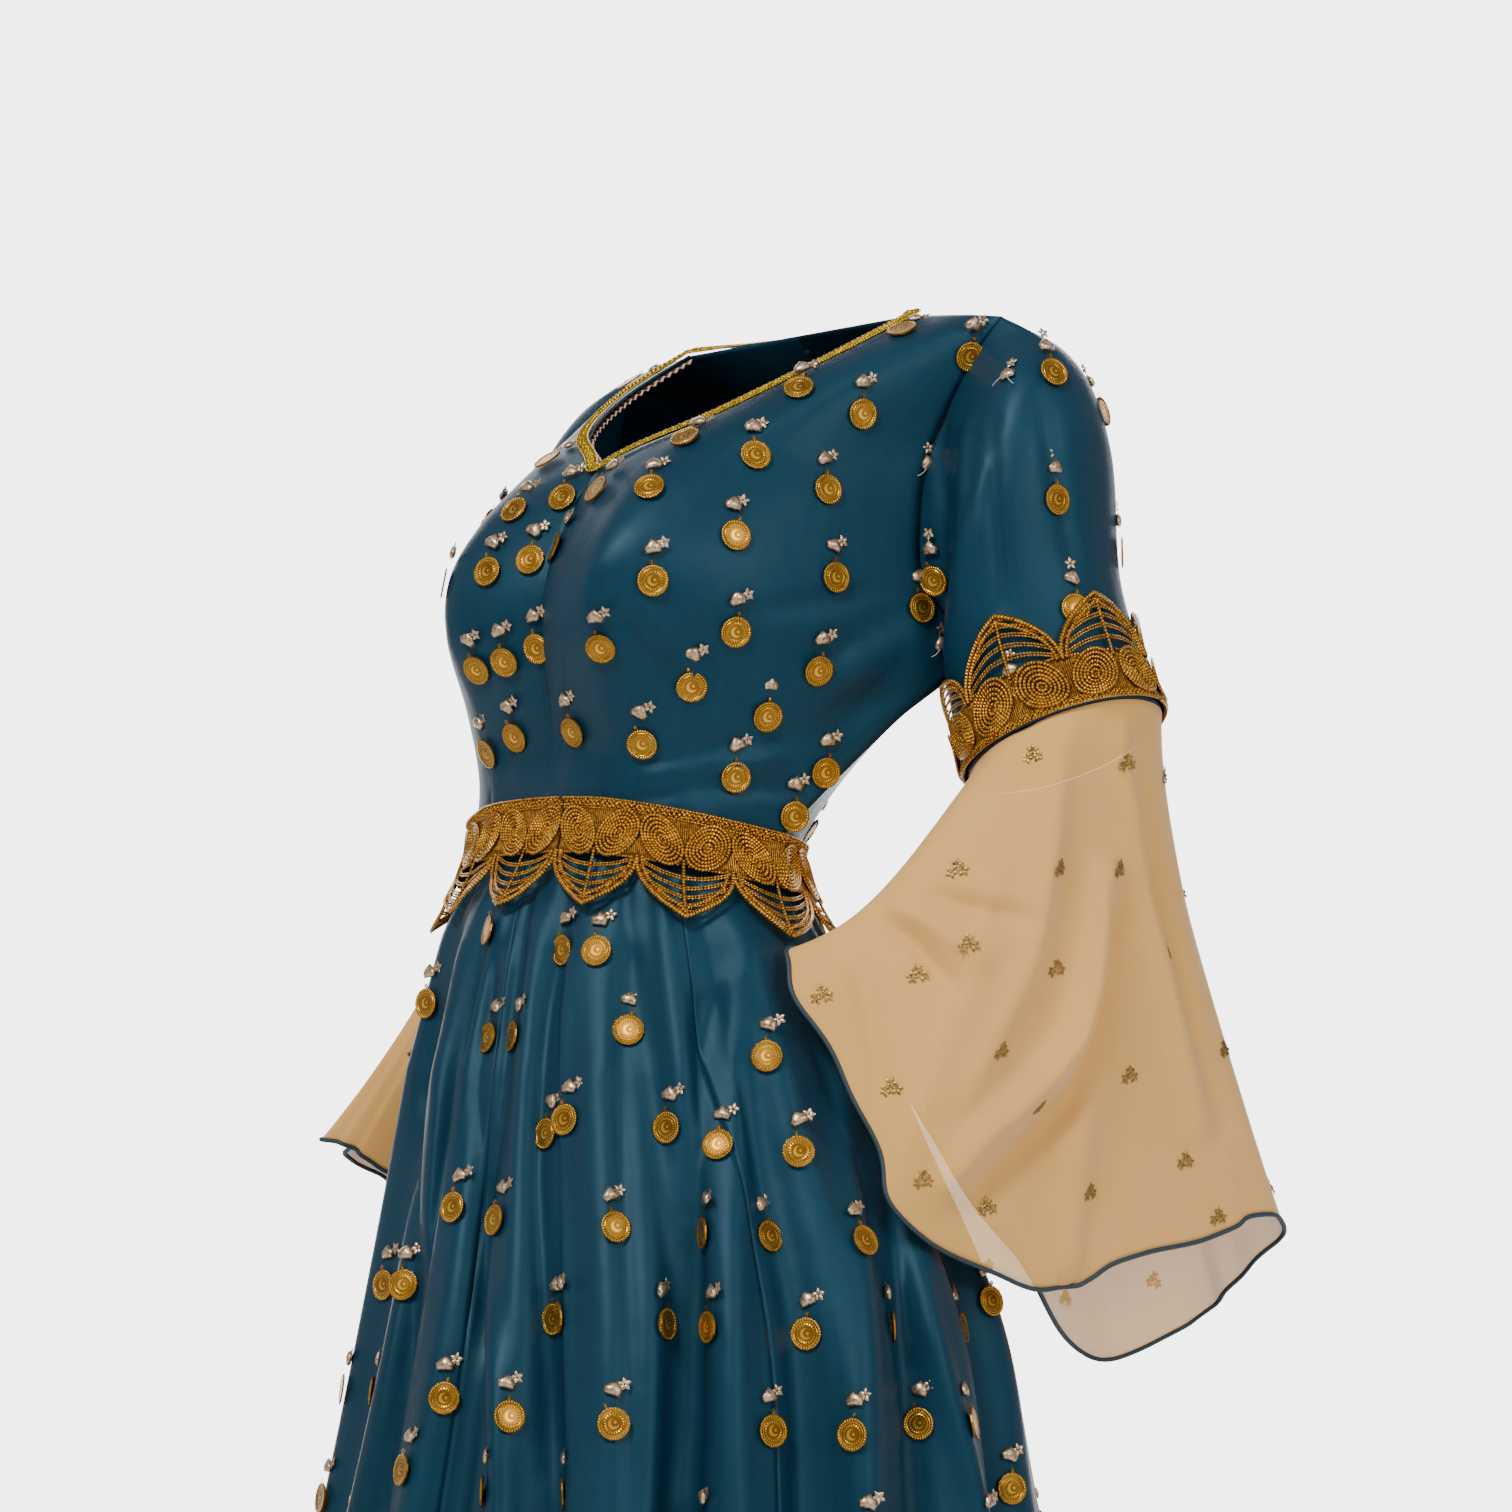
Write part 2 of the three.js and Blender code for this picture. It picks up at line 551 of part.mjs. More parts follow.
// Skirt section at height z, in the direction given in degrees from the front
function skirtPoint(degrees, z) {
  const zs = SKIRT.map((s) => s.z);
  let k = 0;
  while (k < SKIRT.length - 2 && z < zs[k + 1]) k++;
  const t = k + (z - zs[k]) / (zs[k + 1] - zs[k]);
  const size = along(SKIRT.map((s) => new THREE.Vector3(s.wide, s.deep, s.fold)), t);
  const middle = along(SKIRT.map((s) => new THREE.Vector3(s.x, s.y, 0)), t);
  const angle = (degrees * Math.PI) / 180;
  const dx = Math.sin(angle);
  const dy = -Math.cos(angle);
  let fold = FOLD_BASE;
  for (const f of FOLDS) {
    const away = Math.abs(wrapDegrees(degrees - f.at));
    if (away < f.width) fold += f.height * (0.5 + 0.5 * Math.cos((Math.PI * away) / f.width));
  }
  const radial = 1 / Math.hypot(dx / size.x, dy / size.y);
  const r = radial + size.z * fold;
  return new THREE.Vector3(LEAN_X + middle.x + dx * r, LEAN_Y + middle.y + dy * r, z);
}

// Waist line of the bodice, by direction in degrees from the front
const WAIST_MIDDLE = { x: LEAN_X + 3, y: LEAN_Y + 1 };
const waistLine = [...frontRows[0], ...backLeftRows[0].slice(1), ...backRightRows[0].slice(1)].map((p) => ({
  p, degrees: (Math.atan2(p.x - WAIST_MIDDLE.x, -(p.y - WAIST_MIDDLE.y)) * 180) / Math.PI,
})).sort((a, b) => a.degrees - b.degrees);

function waistAt(degrees) {
  const n = waistLine.length;
  let k = waistLine.findIndex((w) => w.degrees > degrees);
  if (k < 0) k = 0;
  const before = waistLine[wrap(k - 1, n)];
  const after = waistLine[k];
  const span = wrapDegrees(after.degrees - before.degrees);
  return before.p.clone().lerp(after.p, span ? wrapDegrees(degrees - before.degrees) / span : 0);
}

// Skirt cloth below the waist seam; it leaves the waist line smoothly and then follows its own sections
function skirtCloth(degrees, z) {
  const top = waistAt(degrees);
  const share = Math.min(Math.max((top.z - z) / SKIRT_EASE, 0), 1);
  const p = skirtPoint(degrees, z);
  const ease = share * share * (3 - 2 * share);
  return new THREE.Vector3(top.x + (p.x - top.x) * ease, top.y + (p.y - top.y) * ease, z);
}

function skirtRows() {
  const rows = [];
  for (let j = SKIRT_ROWS; j >= 0; j--) {
    const t = j === 0 ? 0 : SKIRT_SPACING[j];
    const line = [];
    for (let c = 0; c < SKIRT_COLUMNS; c++) {
      const degrees = (c / SKIRT_COLUMNS) * 360 - 180;
      const top = waistAt(degrees).z - SEAM_GAP;
      line.push(skirtCloth(degrees, top + (HEM_Z - top) * t));
    }
    rows.push(line);
  }
  return rows;
}

const skirt = skirtRows();
const skirtNormals = gridNormals(skirt, true);
const panelColumns = SKIRT_COLUMNS / SKIRT_PANELS;
for (let k = 0; k < SKIRT_PANELS; k++) {
  const cut = (grid) => grid.map((line) => Array.from({ length: panelColumns + 1 },
    (_, i) => line[wrap(k * panelColumns + i, SKIRT_COLUMNS)].clone()));
  add(`skirt_panel_${k + 1}`, wall(trimmed(cut(skirt), SEAM_GAP / 2), cut(skirtNormals), SATIN), teal);
}

// Facing inside the V, from the front's own points moved in
const onFacing = (j, i) => neckOpen(j, i) && j >= vRow - 2 && Math.abs(i - HALF_COLUMNS) <= FACING_COLUMNS;
add("neck_facing", wall(trimmed(frontRows, SEAM_GAP / 2), frontNormals, FACING_THICKNESS,
  { keep: onFacing, lift: -SATIN - SEAM_GAP }), facingCloth);

// Braid on the neck edge: one closed strip round the V and the back neck
function neckBraid() {
  const n = HALF_COLUMNS;
  const edge = [];
  const top = BODICE_ROWS;
  for (let j = vRow; j <= top; j++) edge.push([frontRows[j][n + 1], frontNormals[j][n + 1]]);
  for (let j = top - 1; j >= backNeckRow; j--) edge.push([backLeftRows[j][n], backLeftNormals[j][n]]);
  for (let j = backNeckRow + 1; j < top; j++) edge.push([backRightRows[j][0], backRightNormals[j][0]]);
  for (let j = top; j >= vRow; j--) edge.push([frontRows[j][n], frontNormals[j][n]]);
  const inner = [];
  const outer = [];
  const normals = [];
  edge.forEach(([p, normal], k) => {
    const before = edge[wrap(k - 1, edge.length)][0];
    const after = edge[wrap(k + 1, edge.length)][0];
    const tangent = new THREE.Vector3().subVectors(after, before).normalize();
    const across = new THREE.Vector3().crossVectors(tangent, normal).normalize();
    inner.push(p.clone());
    outer.push(p.clone().addScaledVector(across, BRAID_WIDTH).addScaledVector(normal, BRAID_TILT));
    normals.push(normal);
  });
  return wall([inner, outer], [normals, normals], BRAID_THICKNESS, { closed: true, lift: BRAID_LIFT });
}
add("neck_braid", neckBraid(), gold);

// Outline and windows of one lace repeat of the given width: a border and lobes as a solid field, and a
// pointed leaf whose gaps lie between the outline, the centre rib and the slanting veins
function laceCell(width) {
  const half = width / 2;
  const edgeAt = (h) => {
    const down = Math.max(h - LACE_VALLEY, 0) / (LACE_TIP - LACE_VALLEY);
    return half * Math.max(0, 1 - down ** LEAF_SHAPE);
  };
  const outline = [
    [0, 0], [width / 4, LACE_DIP], [half, 0], [width * 0.75, LACE_DIP], [width, 0], [width, LACE_VALLEY / 2],
    [width, LACE_VALLEY],
  ];
  for (const h of LEAF_HEIGHTS) outline.push([half + edgeAt(h), h]);
  outline.push([half, LACE_TIP]);
  for (const h of LEAF_HEIGHTS.slice().reverse()) outline.push([half - edgeAt(h), h]);
  outline.push([0, LACE_VALLEY], [0, LACE_VALLEY / 2]);
  const windows = [];
  for (let k = 0; k < VEIN_STEPS.length; k++) {
    const low = VEIN_STEPS[k + 1] ?? LAST_VEIN;
    const high = VEIN_STEPS[k];
    for (const side of [1, -1]) {
      const outHigh = Math.max(edgeAt(high.out + WINDOW_TOP) - LACE_RIM, LACE_RIB + WINDOW_LEAST);
      const outLow = Math.max(edgeAt(low.out - WINDOW_FOOT) - LACE_RIM, LACE_RIB + VEIN / 2);
      windows.push([
        [half + side * LACE_RIB, high.rib + VEIN / 2], [half + side * outHigh, high.out + WINDOW_TOP],
        [half + side * outLow, low.out - WINDOW_FOOT], [half + side * LACE_RIB, low.rib - VEIN / 2],
      ]);
    }
  }
  return { outline, windows };
}

// Lace length of a few repeats; place maps a distance along and a height to an outer and an inner point
function laceLength(repeats, width, place) {
  const { outline, windows } = laceCell(width);
  const clockwise = (loop) => THREE.ShapeUtils.isClockWise(loop.map(([x, y]) => new THREE.Vector2(x, y)));
  const contour = clockwise(outline) ? outline.slice().reverse() : outline;
  const holes = windows.map((w) => (clockwise(w) ? w : w.slice().reverse()));
  const flat = (loop) => loop.map(([x, y]) => new THREE.Vector2(x, y));
  const triangles = THREE.ShapeUtils.triangulateShape(flat(contour), holes.map(flat));
  const cell = [contour, ...holes].flat();
  const keys = new Map();
  const positions = [];
  const pointAt = (s, h) => {
    const key = `${s.toFixed(2)},${h.toFixed(2)}`;
    if (!keys.has(key)) {
      keys.set(key, keys.size);
      const [outer, inner] = place(s, h);
      positions.push([outer, inner]);
    }
    return keys.get(key);
  };
  const faces = [];
  for (let k = 0; k < repeats; k++) {
    const id = ([x, y]) => pointAt(x + k * width, y);
    for (const [a, b, c] of triangles) {
      const [i, j, l] = [id(cell[a]), id(cell[b]), id(cell[c])];
      faces.push(2 * i, 2 * j, 2 * l, 2 * i + 1, 2 * l + 1, 2 * j + 1);
    }
    for (const loop of [contour, ...holes]) {
      loop.forEach((p, m) => {
        const q = loop[(m + 1) % loop.length];
        const upright = Math.abs(p[0] - q[0]) < 1e-6;
        const shared = p[0] === 0 ? k > 0 : p[0] === width && k < repeats - 1;
        if (upright && shared) return;
        const [i, j] = [id(p), id(q)];
        faces.push(2 * i, 2 * i + 1, 2 * j + 1, 2 * i, 2 * j + 1, 2 * j);
      });
    }
  }
  return geometryOf(positions.flatMap(([o, i]) => [o.x, o.y, o.z, i.x, i.y, i.z]), faces);
}

// Lace at the waist hangs straight over the gathers, clear of the skirt; repeats are equally wide
const waistLoop = evenLoop(waistLine.map((w) => w.p), WAIST_STEPS);
const waistLength = waistLoop.reduce((sum, p, k) => sum + p.distanceTo(waistLoop[(k + 1) % WAIST_STEPS]), 0);

function waistLacePlace(s, h) {
  const p = along(waistLoop, (s / waistLength) * WAIST_STEPS, true);
  const degrees = (Math.atan2(p.x - WAIST_MIDDLE.x, -(p.y - WAIST_MIDDLE.y)) * 180) / Math.PI;
  const out = new THREE.Vector3(p.x - WAIST_MIDDLE.x, (p.y - WAIST_MIDDLE.y) * WAIST_ASPECT, 0).normalize();
  const below = Math.max(h - WAIST_LACE_ABOVE, 0);
  const z = p.z + WAIST_LACE_ABOVE - h * WAIST_LACE_HANG;
  const inner = p.clone();
  if (below > 0) {
    const cloth = skirtCloth(degrees, z);
    inner.x = cloth.x;
    inner.y = cloth.y;
  }
  inner.z = z;
  const above = Math.max(WAIST_LACE_ABOVE - h, 0);
  inner.addScaledVector(out, WAIST_LACE_CLEAR + below * WAIST_LACE_FLARE + above * WAIST_LACE_LEAN);
  return [inner.clone().addScaledVector(out, LACE_THICKNESS), inner];
}
const waistWidth = waistLength / WAIST_REPEATS;
for (let k = 0; k < 2; k++) {
  const start = (k * waistLength) / 2 + waistWidth * WAIST_LACE_START;
  const length = waistLength / 2;
  add(`waist_lace_${k + 1}`, laceLength(WAIST_REPEATS / 2, waistWidth,
    (s, h) => waistLacePlace(start + SEAM_GAP / 2 + s * (1 - SEAM_GAP / length), h)), gold);
}

// The same lace stands on each sleeve with its points up
function sleeveLacePlace(side, rings, turn, h) {
  const surface = (u, up) => {
    const guides = rings.map((r) => ringPoint(r, u, side));
    const n = rings.length - 1;
    const step = guides[n].distanceTo(guides[n - 1]);
    const drop = Math.max(step, (step + SLEEVE_LACE_DROP) / 2);
    return along(guides, n - up / drop);
  };
  const p = surface(turn, h);
  const a = surface(turn + 0.01, h).sub(surface(turn - 0.01, h));
  const b = surface(turn, h + 1).sub(surface(turn, h - 1));
  const normal = a.cross(b).normalize();
  const seam = rings[rings.length - 1];
  if (normal.dot(new THREE.Vector3(p.x - seam.x, p.y - seam.y, 0)) < 0) normal.negate();
  const inner = p.clone().addScaledVector(normal, SLEEVE_LACE_CLEAR);
  return [inner.clone().addScaledVector(normal, LACE_THICKNESS), inner];
}
for (const f of FLOUNCES) {
  const ring = f.rings[f.rings.length - 1];
  const round = Math.PI * (ring.wide + ring.deep);
  const width = round / SLEEVE_REPEATS;
  for (let k = 0; k < 2; k++) {
    const start = (k * round) / 2 + width * SLEEVE_LACE_START;
    add(`sleeve_lace_${f.name}_${k + 1}`, laceLength(SLEEVE_REPEATS / 2, width, (s, h) => {
      const turn = (start + SEAM_GAP / 2 + s * (1 - (2 * SEAM_GAP) / round)) / round;
      return sleeveLacePlace(f.side, f.rings, turn, h + SLEEVE_LACE_UP);
    }), gold);
  }
}

export default dress;
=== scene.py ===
"""Embroidered party dress: cloth, lace, braid, coins and thread motifs on the frame, and a pale stage."""
import math
import bmesh
import bpy
import numpy as np
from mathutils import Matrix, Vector
from mathutils.bvhtree import BVHTree


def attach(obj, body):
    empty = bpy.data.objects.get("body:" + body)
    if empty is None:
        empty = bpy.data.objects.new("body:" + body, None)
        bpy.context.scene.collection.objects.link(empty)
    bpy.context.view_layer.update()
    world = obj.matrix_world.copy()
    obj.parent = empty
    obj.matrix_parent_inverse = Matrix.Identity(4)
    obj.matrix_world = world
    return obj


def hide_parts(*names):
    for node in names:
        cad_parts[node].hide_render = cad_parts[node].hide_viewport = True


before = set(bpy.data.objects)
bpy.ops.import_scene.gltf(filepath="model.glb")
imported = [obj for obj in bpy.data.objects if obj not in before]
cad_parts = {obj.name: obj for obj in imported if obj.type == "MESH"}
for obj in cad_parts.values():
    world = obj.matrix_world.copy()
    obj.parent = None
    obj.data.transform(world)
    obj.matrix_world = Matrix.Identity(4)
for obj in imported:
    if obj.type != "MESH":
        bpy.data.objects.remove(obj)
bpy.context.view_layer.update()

bl_info = {
    "name": "Embroidered party dress",
    "version": (1, 0, 0),
    "blender": (4, 2, 0),
    "location": "3D View > Sidebar > Dress",
    "description": "Satin gown with pleated skirt, chiffon flounces, gold lace and coin pendants",
    "category": "Object",
}

MM = 0.001

# Where the photo is taken from: angles round and above, metres away, height looked at, and the pixel
# across in which the gown's origin appears
SIGHT_ROUND = math.radians(45.0)
SIGHT_ABOVE = math.radians(-5.0)
SIGHT_AWAY = 3.2
SIGHT_HEIGHT = -0.323
ORIGIN_PIXEL = 796.0
PHOTO_WIDTH = 1512.0
PHOTO_MIDDLE = PHOTO_WIDTH / 2
LENS = 101.0
SENSOR = 36.0
FOCAL_PIXELS = LENS / SENSOR * PHOTO_WIDTH
SIGHT_LINE = Vector((-math.sin(SIGHT_ROUND) * math.cos(SIGHT_ABOVE),
                     math.cos(SIGHT_ROUND) * math.cos(SIGHT_ABOVE), -math.sin(SIGHT_ABOVE)))
SIGHT_RIGHT = Vector((math.cos(SIGHT_ROUND), math.sin(SIGHT_ROUND), 0.0))
SIGHT_UP = SIGHT_RIGHT.cross(SIGHT_LINE)
SIGHT_PLACE = (SIGHT_RIGHT * ((PHOTO_MIDDLE - ORIGIN_PIXEL) / FOCAL_PIXELS * SIGHT_AWAY)
               + Vector((0.0, 0.0, SIGHT_HEIGHT)) - SIGHT_LINE * SIGHT_AWAY)

# Cut of the garment in millimetres, as in the solids
WAIST_Z = -396.0
HEM_Z = -1395.0
LEAN = np.array([-50.0, -117.0])
NOTCH = 2.0
ARMHOLE_GAP = 0.2
SIDE_ROW = 3
V_ROW = 6
BACK_NECK_ROW = 7
SKIRT_EASE = 90.0
FOLD_BASE = -0.45
# Half of the front from the waist up: centre, quarter, dart, outer and side points
FRONT = np.array([
    [(0, -106, -368), (36, -104, -369), (70, -94, -372), (116, -62, -382), (145, 2, -396)],
    [(0, -112, -334), (37, -113, -334), (74, -107, -336), (119, -70, -346), (148, 4, -358)],
    [(0, -134, -292), (40, -142, -292), (80, -138, -292), (127, -88, -298), (153, 7, -308)],
    [(0, -159, -248), (44, -175, -246), (86, -175, -244), (135, -108, -248), (160, 12, -258)],
    [(0, -170, -206), (46, -187, -204), (90, -187, -200), (138, -111, -202), (165, 10, -208)],
    [(0, -166, -164), (46, -180, -162), (90, -174, -158), (137, -102, -158), (166, 6, -160)],
    [(0, -152, -122), (46, -156, -119), (90, -144, -116), (132, -92, -114), (166, 4, -114)],
    [(64, -116, -86), (84, -110, -82), (108, -98, -78), (140, -66, -72), (170, 4, -68)],
    [(102, -60, -44), (116, -56, -42), (134, -48, -40), (156, -30, -37), (181, 6, -34)],
    [(116, 2, -2), (134, 4, -4), (154, 6, -6), (174, 8, -8), (196, 10, -11)],
], float)
# Half of the back at the same rows
BACK = np.array([
    [(0, 88, -408), (40, 85, -407), (78, 74, -405), (118, 50, -401), (145, 2, -396)],
    [(0, 84, -362), (40, 84, -362), (80, 76, -361), (121, 52, -360), (148, 4, -358)],
    [(0, 82, -308), (42, 86, -308), (84, 82, -308), (127, 60, -308), (153, 7, -308)],
    [(0, 84, -258), (42, 92, -258), (86, 92, -258), (132, 74, -258), (160, 12, -258)],
    [(0, 88, -208), (42, 97, -208), (88, 97, -208), (136, 88, -208), (166, 62, -208)],
    [(0, 92, -160), (42, 101, -160), (88, 101, -160), (134, 98, -160), (164, 82, -160)],
    [(0, 92, -116), (42, 101, -115), (88, 102, -114), (132, 99, -114), (163, 86, -114)],
    [(0, 82, -52), (46, 90, -58), (88, 92, -62), (130, 90, -66), (166, 78, -70)],
    [(84, 68, -40), (102, 67, -38), (122, 66, -36), (149, 62, -35), (178, 52, -34)],
    [(116, 2, -2), (134, 4, -4), (154, 6, -6), (174, 8, -8), (196, 10, -11)],
], float)
# How far the lifted left arm draws its side out and back at each row, and how much each guide takes
LEFT_PULL = np.array([
    (0, 0), (10, 20), (24, 48), (36, 76), (14, 30), (4, 18), (0, 14), (3, 14), (3, 12), (0, 10)], float)
PULL_SHARE = (0, 0, 0.08, 0.45, 1)
# Sleeve rings: x, y, z, half width across, half depth, rise outwards, rise backwards, set back
LEFT_SLEEVE = np.array([
    (200, 30, -150, 33, 62, 3.45, 0.05, 0), (204, 34, -188, 53, 72, 1.85, 0.06, 0),
    (206, 41, -257, 56, 70, 1.05, 0.05, 0), (222, 53, -326, 68, 73, 0.44, 0.02, 0)], float)
RIGHT_SLEEVE = np.array([
    (-218, -12, -150, 20, 50, 5.8, 0.05, 0.9), (-231, -10, -184, 34, 62, 2.95, 0.05, 0.5),
    (-247, 2, -256, 47, 67, 1.0, 0.05, 0), (-260, 12, -328, 50, 72, 0.35, 0.05, 0)], float)
# Hem of each flounce at eight guides from the front round the outside
LEFT_HEM = np.array([
    (132, -124, -476), (192, -112, -640), (214, 20, -716), (240, 138, -690),
    (252, 262, -668), (168, 286, -735), (124, 196, -776), (150, 70, -690)], float)
RIGHT_HEM = np.array([
    (-318, -186, -612), (-362, -138, -620), (-380, -70, -650), (-368, -5, -690),
    (-336, 26, -715), (-305, -10, -715), (-298, -75, -690), (-298, -140, -640)], float)
# Skirt sections: height, middle x and y, half width, half depth, depth of the folds
SKIRT = np.array([
    (-345, 0, -8, 138, 90, 0), (-460, 2, -4, 162, 120, 7), (-560, 8, 6, 188, 154, 14),
    (-740, 26, 24, 232, 212, 20), (-920, 26, 26, 261, 250, 25), (-1150, 32, 34, 312, 306, 30),
    (HEM_Z, 35, 38, 360, 356, 36)], float)
# Ridges of the skirt's folds: degrees from the front towards the left, height, half width in degrees
FOLDS = ((-174, 1.0, 13), (-152, 0.8, 12), (-131, 1.1, 13), (-109, 0.9, 12), (-88, 1.1, 13), (-67, 0.9, 12),
         (-46, 1.2, 13), (-26, 0.9, 11), (-7, 1.1, 12), (13, 0.9, 12), (34, 1.2, 13), (55, 1.0, 12),
         (76, 1.2, 13), (97, 0.9, 12), (119, 1.1, 13), (141, 0.9, 13), (163, 1.0, 12))


# Forms of the cloth, worked out as arrays in millimetres
def along(points, t, closed=False):
    """Smooth values through equally spaced rows of points, at t in steps of one."""
    points = np.asarray(points, float)
    t = np.asarray(t, float)
    n = len(points)
    i = np.floor(t).astype(int)
    if not closed:
        i = np.clip(i, 0, n - 2)
    f = (t - i).reshape(t.shape + (1,) * (points.ndim - 1))

    def at(k):
        return points[k % n] if closed else points[np.clip(k, 0, n - 1)]

    return (at(i - 1) * (((-f + 2) * f - 1) * f / 2) + at(i) * (((3 * f - 5) * f * f + 2) / 2)
            + at(i + 1) * (((-3 * f + 4) * f + 1) * f / 2) + at(i + 2) * (((f - 1) * f * f) / 2))


def lean(p):
    share = np.clip(p[..., 2] / WAIST_Z, 0, 1)
    out = p.copy()
    out[..., 0] += LEAN[0] * share
    out[..., 1] += LEAN[1] * share
    return out


def half_panel(table, side, rows, columns):
    """Points of half of the front or back, rows from the waist up, columns from the centre to the side."""
    v = np.linspace(0, len(table) - 1, rows + 1)
    guides = []
    for g, share in enumerate(PULL_SHARE):
        line = table[:, g].copy()
        if side > 0:
            line[:, :2] += LEFT_PULL * share
        guides.append(along(line, v))
    guides = np.array(guides)
    u = np.linspace(0, len(PULL_SHARE) - 1, columns + 1)
    grid = np.stack([along(guides[:, j], u) for j in range(rows + 1)])
    grid[:, 0, 0] = np.maximum(grid[:, 0, 0], 0)
    grid[..., 0] *= side
    return lean(grid)


def grid_normals(grid, closed=False):
    if closed:
        across = np.roll(grid, -1, 1) - np.roll(grid, 1, 1)
    else:
        across = np.gradient(grid, axis=1)
    up = np.gradient(grid, axis=0)
    n = np.cross(across, up)
    return n / (np.linalg.norm(n, axis=-1, keepdims=True) + 1e-12)


def even_loop(loop, count):
    """Points at equal steps round a closed loop."""
    ring = np.vstack([loop, loop[:1]])
    s = np.concatenate([[0], np.cumsum(np.linalg.norm(np.diff(ring, axis=0), axis=1))])
    goal = np.arange(count) / count * s[-1]
    return np.stack([np.interp(goal, s, ring[:, k]) for k in range(3)], 1)


def ring_point(ring, turn, side):
    """Point on a sleeve ring; turn 0 is the underarm, then the front, the outside and the back."""
    angle = np.asarray(turn) * 2 * math.pi
    x = -np.cos(angle) * side * ring[3]
    y = -np.sin(angle) * ring[4]
    out = side * x
    return np.stack([ring[0] + x, ring[1] + y + out * ring[7], ring[2] + out * ring[5] + y * ring[6]], -1)


BODICE_ROWS = 90
HALF_COLUMNS = 40
ROW = BODICE_ROWS // 9
VROW = V_ROW * ROW
SROW = SIDE_ROW * ROW
front_left = half_panel(FRONT, 1, BODICE_ROWS, HALF_COLUMNS)
front_right = half_panel(FRONT, -1, BODICE_ROWS, HALF_COLUMNS)
back_left = half_panel(BACK, 1, BODICE_ROWS, HALF_COLUMNS)
back_right = half_panel(BACK, -1, BODICE_ROWS, HALF_COLUMNS)
back_left[:SROW + 1, -1] = front_left[:SROW + 1, -1]
back_right[:SROW + 1, -1] = front_right[:SROW + 1, -1]


def armhole(side):
    """Edge of the armhole of the finished bodice, up the front and down the back."""
    front = CLOTH["front"][0][:, -1 if side > 0 else 0]
    back = CLOTH["back_left"][0][:, 0] if side > 0 else CLOTH["back_right"][0][:, -1]
    return np.vstack([front[SROW:], back[BODICE_ROWS - 1:SROW:-1]])


def sleeve_grid(side, rings, rows, columns):
    """Rings of a sleeve from its lower seam up to the armhole, facing out."""
    top = even_loop(armhole(side), columns)
    turn = np.arange(columns) / columns
    guides = np.stack([top] + [ring_point(r, turn, side) for r in rings])
    grid = along(guides, np.linspace(0, len(rings), rows + 1))
    middle = top.mean(0)
    away = np.array([rings[0][0], rings[0][1], middle[2]]) - middle
    grid[0] += away / np.linalg.norm(away) * ARMHOLE_GAP
    grid = grid[::-1]
    return grid if side > 0 else np.concatenate([grid[:, :1], grid[:, :0:-1]], 1)


def flounce_grid(side, rings, hem, sag, wave, middle, outside, rows, columns, ripple):
    """Rings of a flounce from its waved hem up to the sleeve seam, facing out."""
    seam = rings[-1].copy()
    seam[2] -= 0.8
    turn = np.arange(columns) / columns
    angle = turn * 2 * math.pi
    top = ring_point(seam, turn + 0.25, side)
    bottom = along(hem, turn * len(hem), True)
    t = np.linspace(0, 1, rows + 1)[:, None]
    shift = t ** (middle + outside * np.sin(angle))[None]
    grid = np.empty((rows + 1, columns, 3))
    grid[..., :2] = top[None, :, :2] + (bottom - top)[None, :, :2] * shift[..., None]
    grid[..., 2] = top[None, :, 2] + (bottom - top)[None, :, 2] * t
    grid[..., 2] -= sag * np.sin(math.pi * t ** 1.3) * np.maximum(np.cos(angle), 0)[None] ** 3
    out = grid[..., :2] - rings[-1][:2]
    out /= np.linalg.norm(out, axis=-1, keepdims=True)
    waves = np.sin(angle * 8) + 0.5 * np.sin(angle * 5 + 1.3)
    fine = ripple * np.sin(angle * 23 + 1.7 * np.sin(angle * 3)) * (0.6 + 0.4 * np.sin(angle * 2 + 1))
    grid[..., :2] += out * (wave * waves[None] * t ** 1.5 + fine[None] * t ** 2.5)[..., None]
    grid = grid[::-1]
    return grid if side > 0 else np.concatenate([grid[:, :1], grid[:, :0:-1]], 1)


WAIST_MIDDLE = LEAN + np.array([3.0, 1.0])
seam_points = np.vstack([front_right[0, ::-1], front_left[0], back_left[0, ::-1], back_right[0]])
seam_degrees = np.degrees(np.arctan2(seam_points[:, 0] - WAIST_MIDDLE[0],
                                     -(seam_points[:, 1] - WAIST_MIDDLE[1])))
seam_order = np.argsort(seam_degrees)
waist_degrees = seam_degrees[seam_order]
waist_line = seam_points[seam_order]


def waist_at(degrees):
    return np.stack([np.interp(degrees, waist_degrees, waist_line[:, k], period=360) for k in range(3)], -1)


def skirt_point(degrees, z):
    t = np.interp(-z, -SKIRT[:, 0], np.arange(len(SKIRT)))
    s = along(SKIRT, t)
    a = np.radians(degrees)
    dx, dy = np.sin(a), -np.cos(a)
    fold = np.full(np.shape(degrees), FOLD_BASE)
    for at, height, width in FOLDS:
        away = np.abs((degrees - at + 180) % 360 - 180)
        rise = height * (0.5 + 0.5 * np.cos(math.pi * np.minimum(away / width, 1)))
        fold = fold + np.where(away < width, rise, 0)
    r = 1 / np.hypot(dx / s[..., 3], dy / s[..., 4]) + s[..., 5] * fold
    return np.stack([LEAN[0] + s[..., 1] + dx * r, LEAN[1] + s[..., 2] + dy * r, z], -1)


def skirt_cloth(degrees, z):
    """Skirt cloth below the waist seam, which leaves the waist line smoothly."""
    top = waist_at(degrees)
    share = np.clip((top[..., 2] - z) / SKIRT_EASE, 0, 1)
    p = skirt_point(degrees, z)
    ease = (share * share * (3 - 2 * share))[..., None]
    out = top + (p - top) * ease
    out[..., 2] = z
    return out


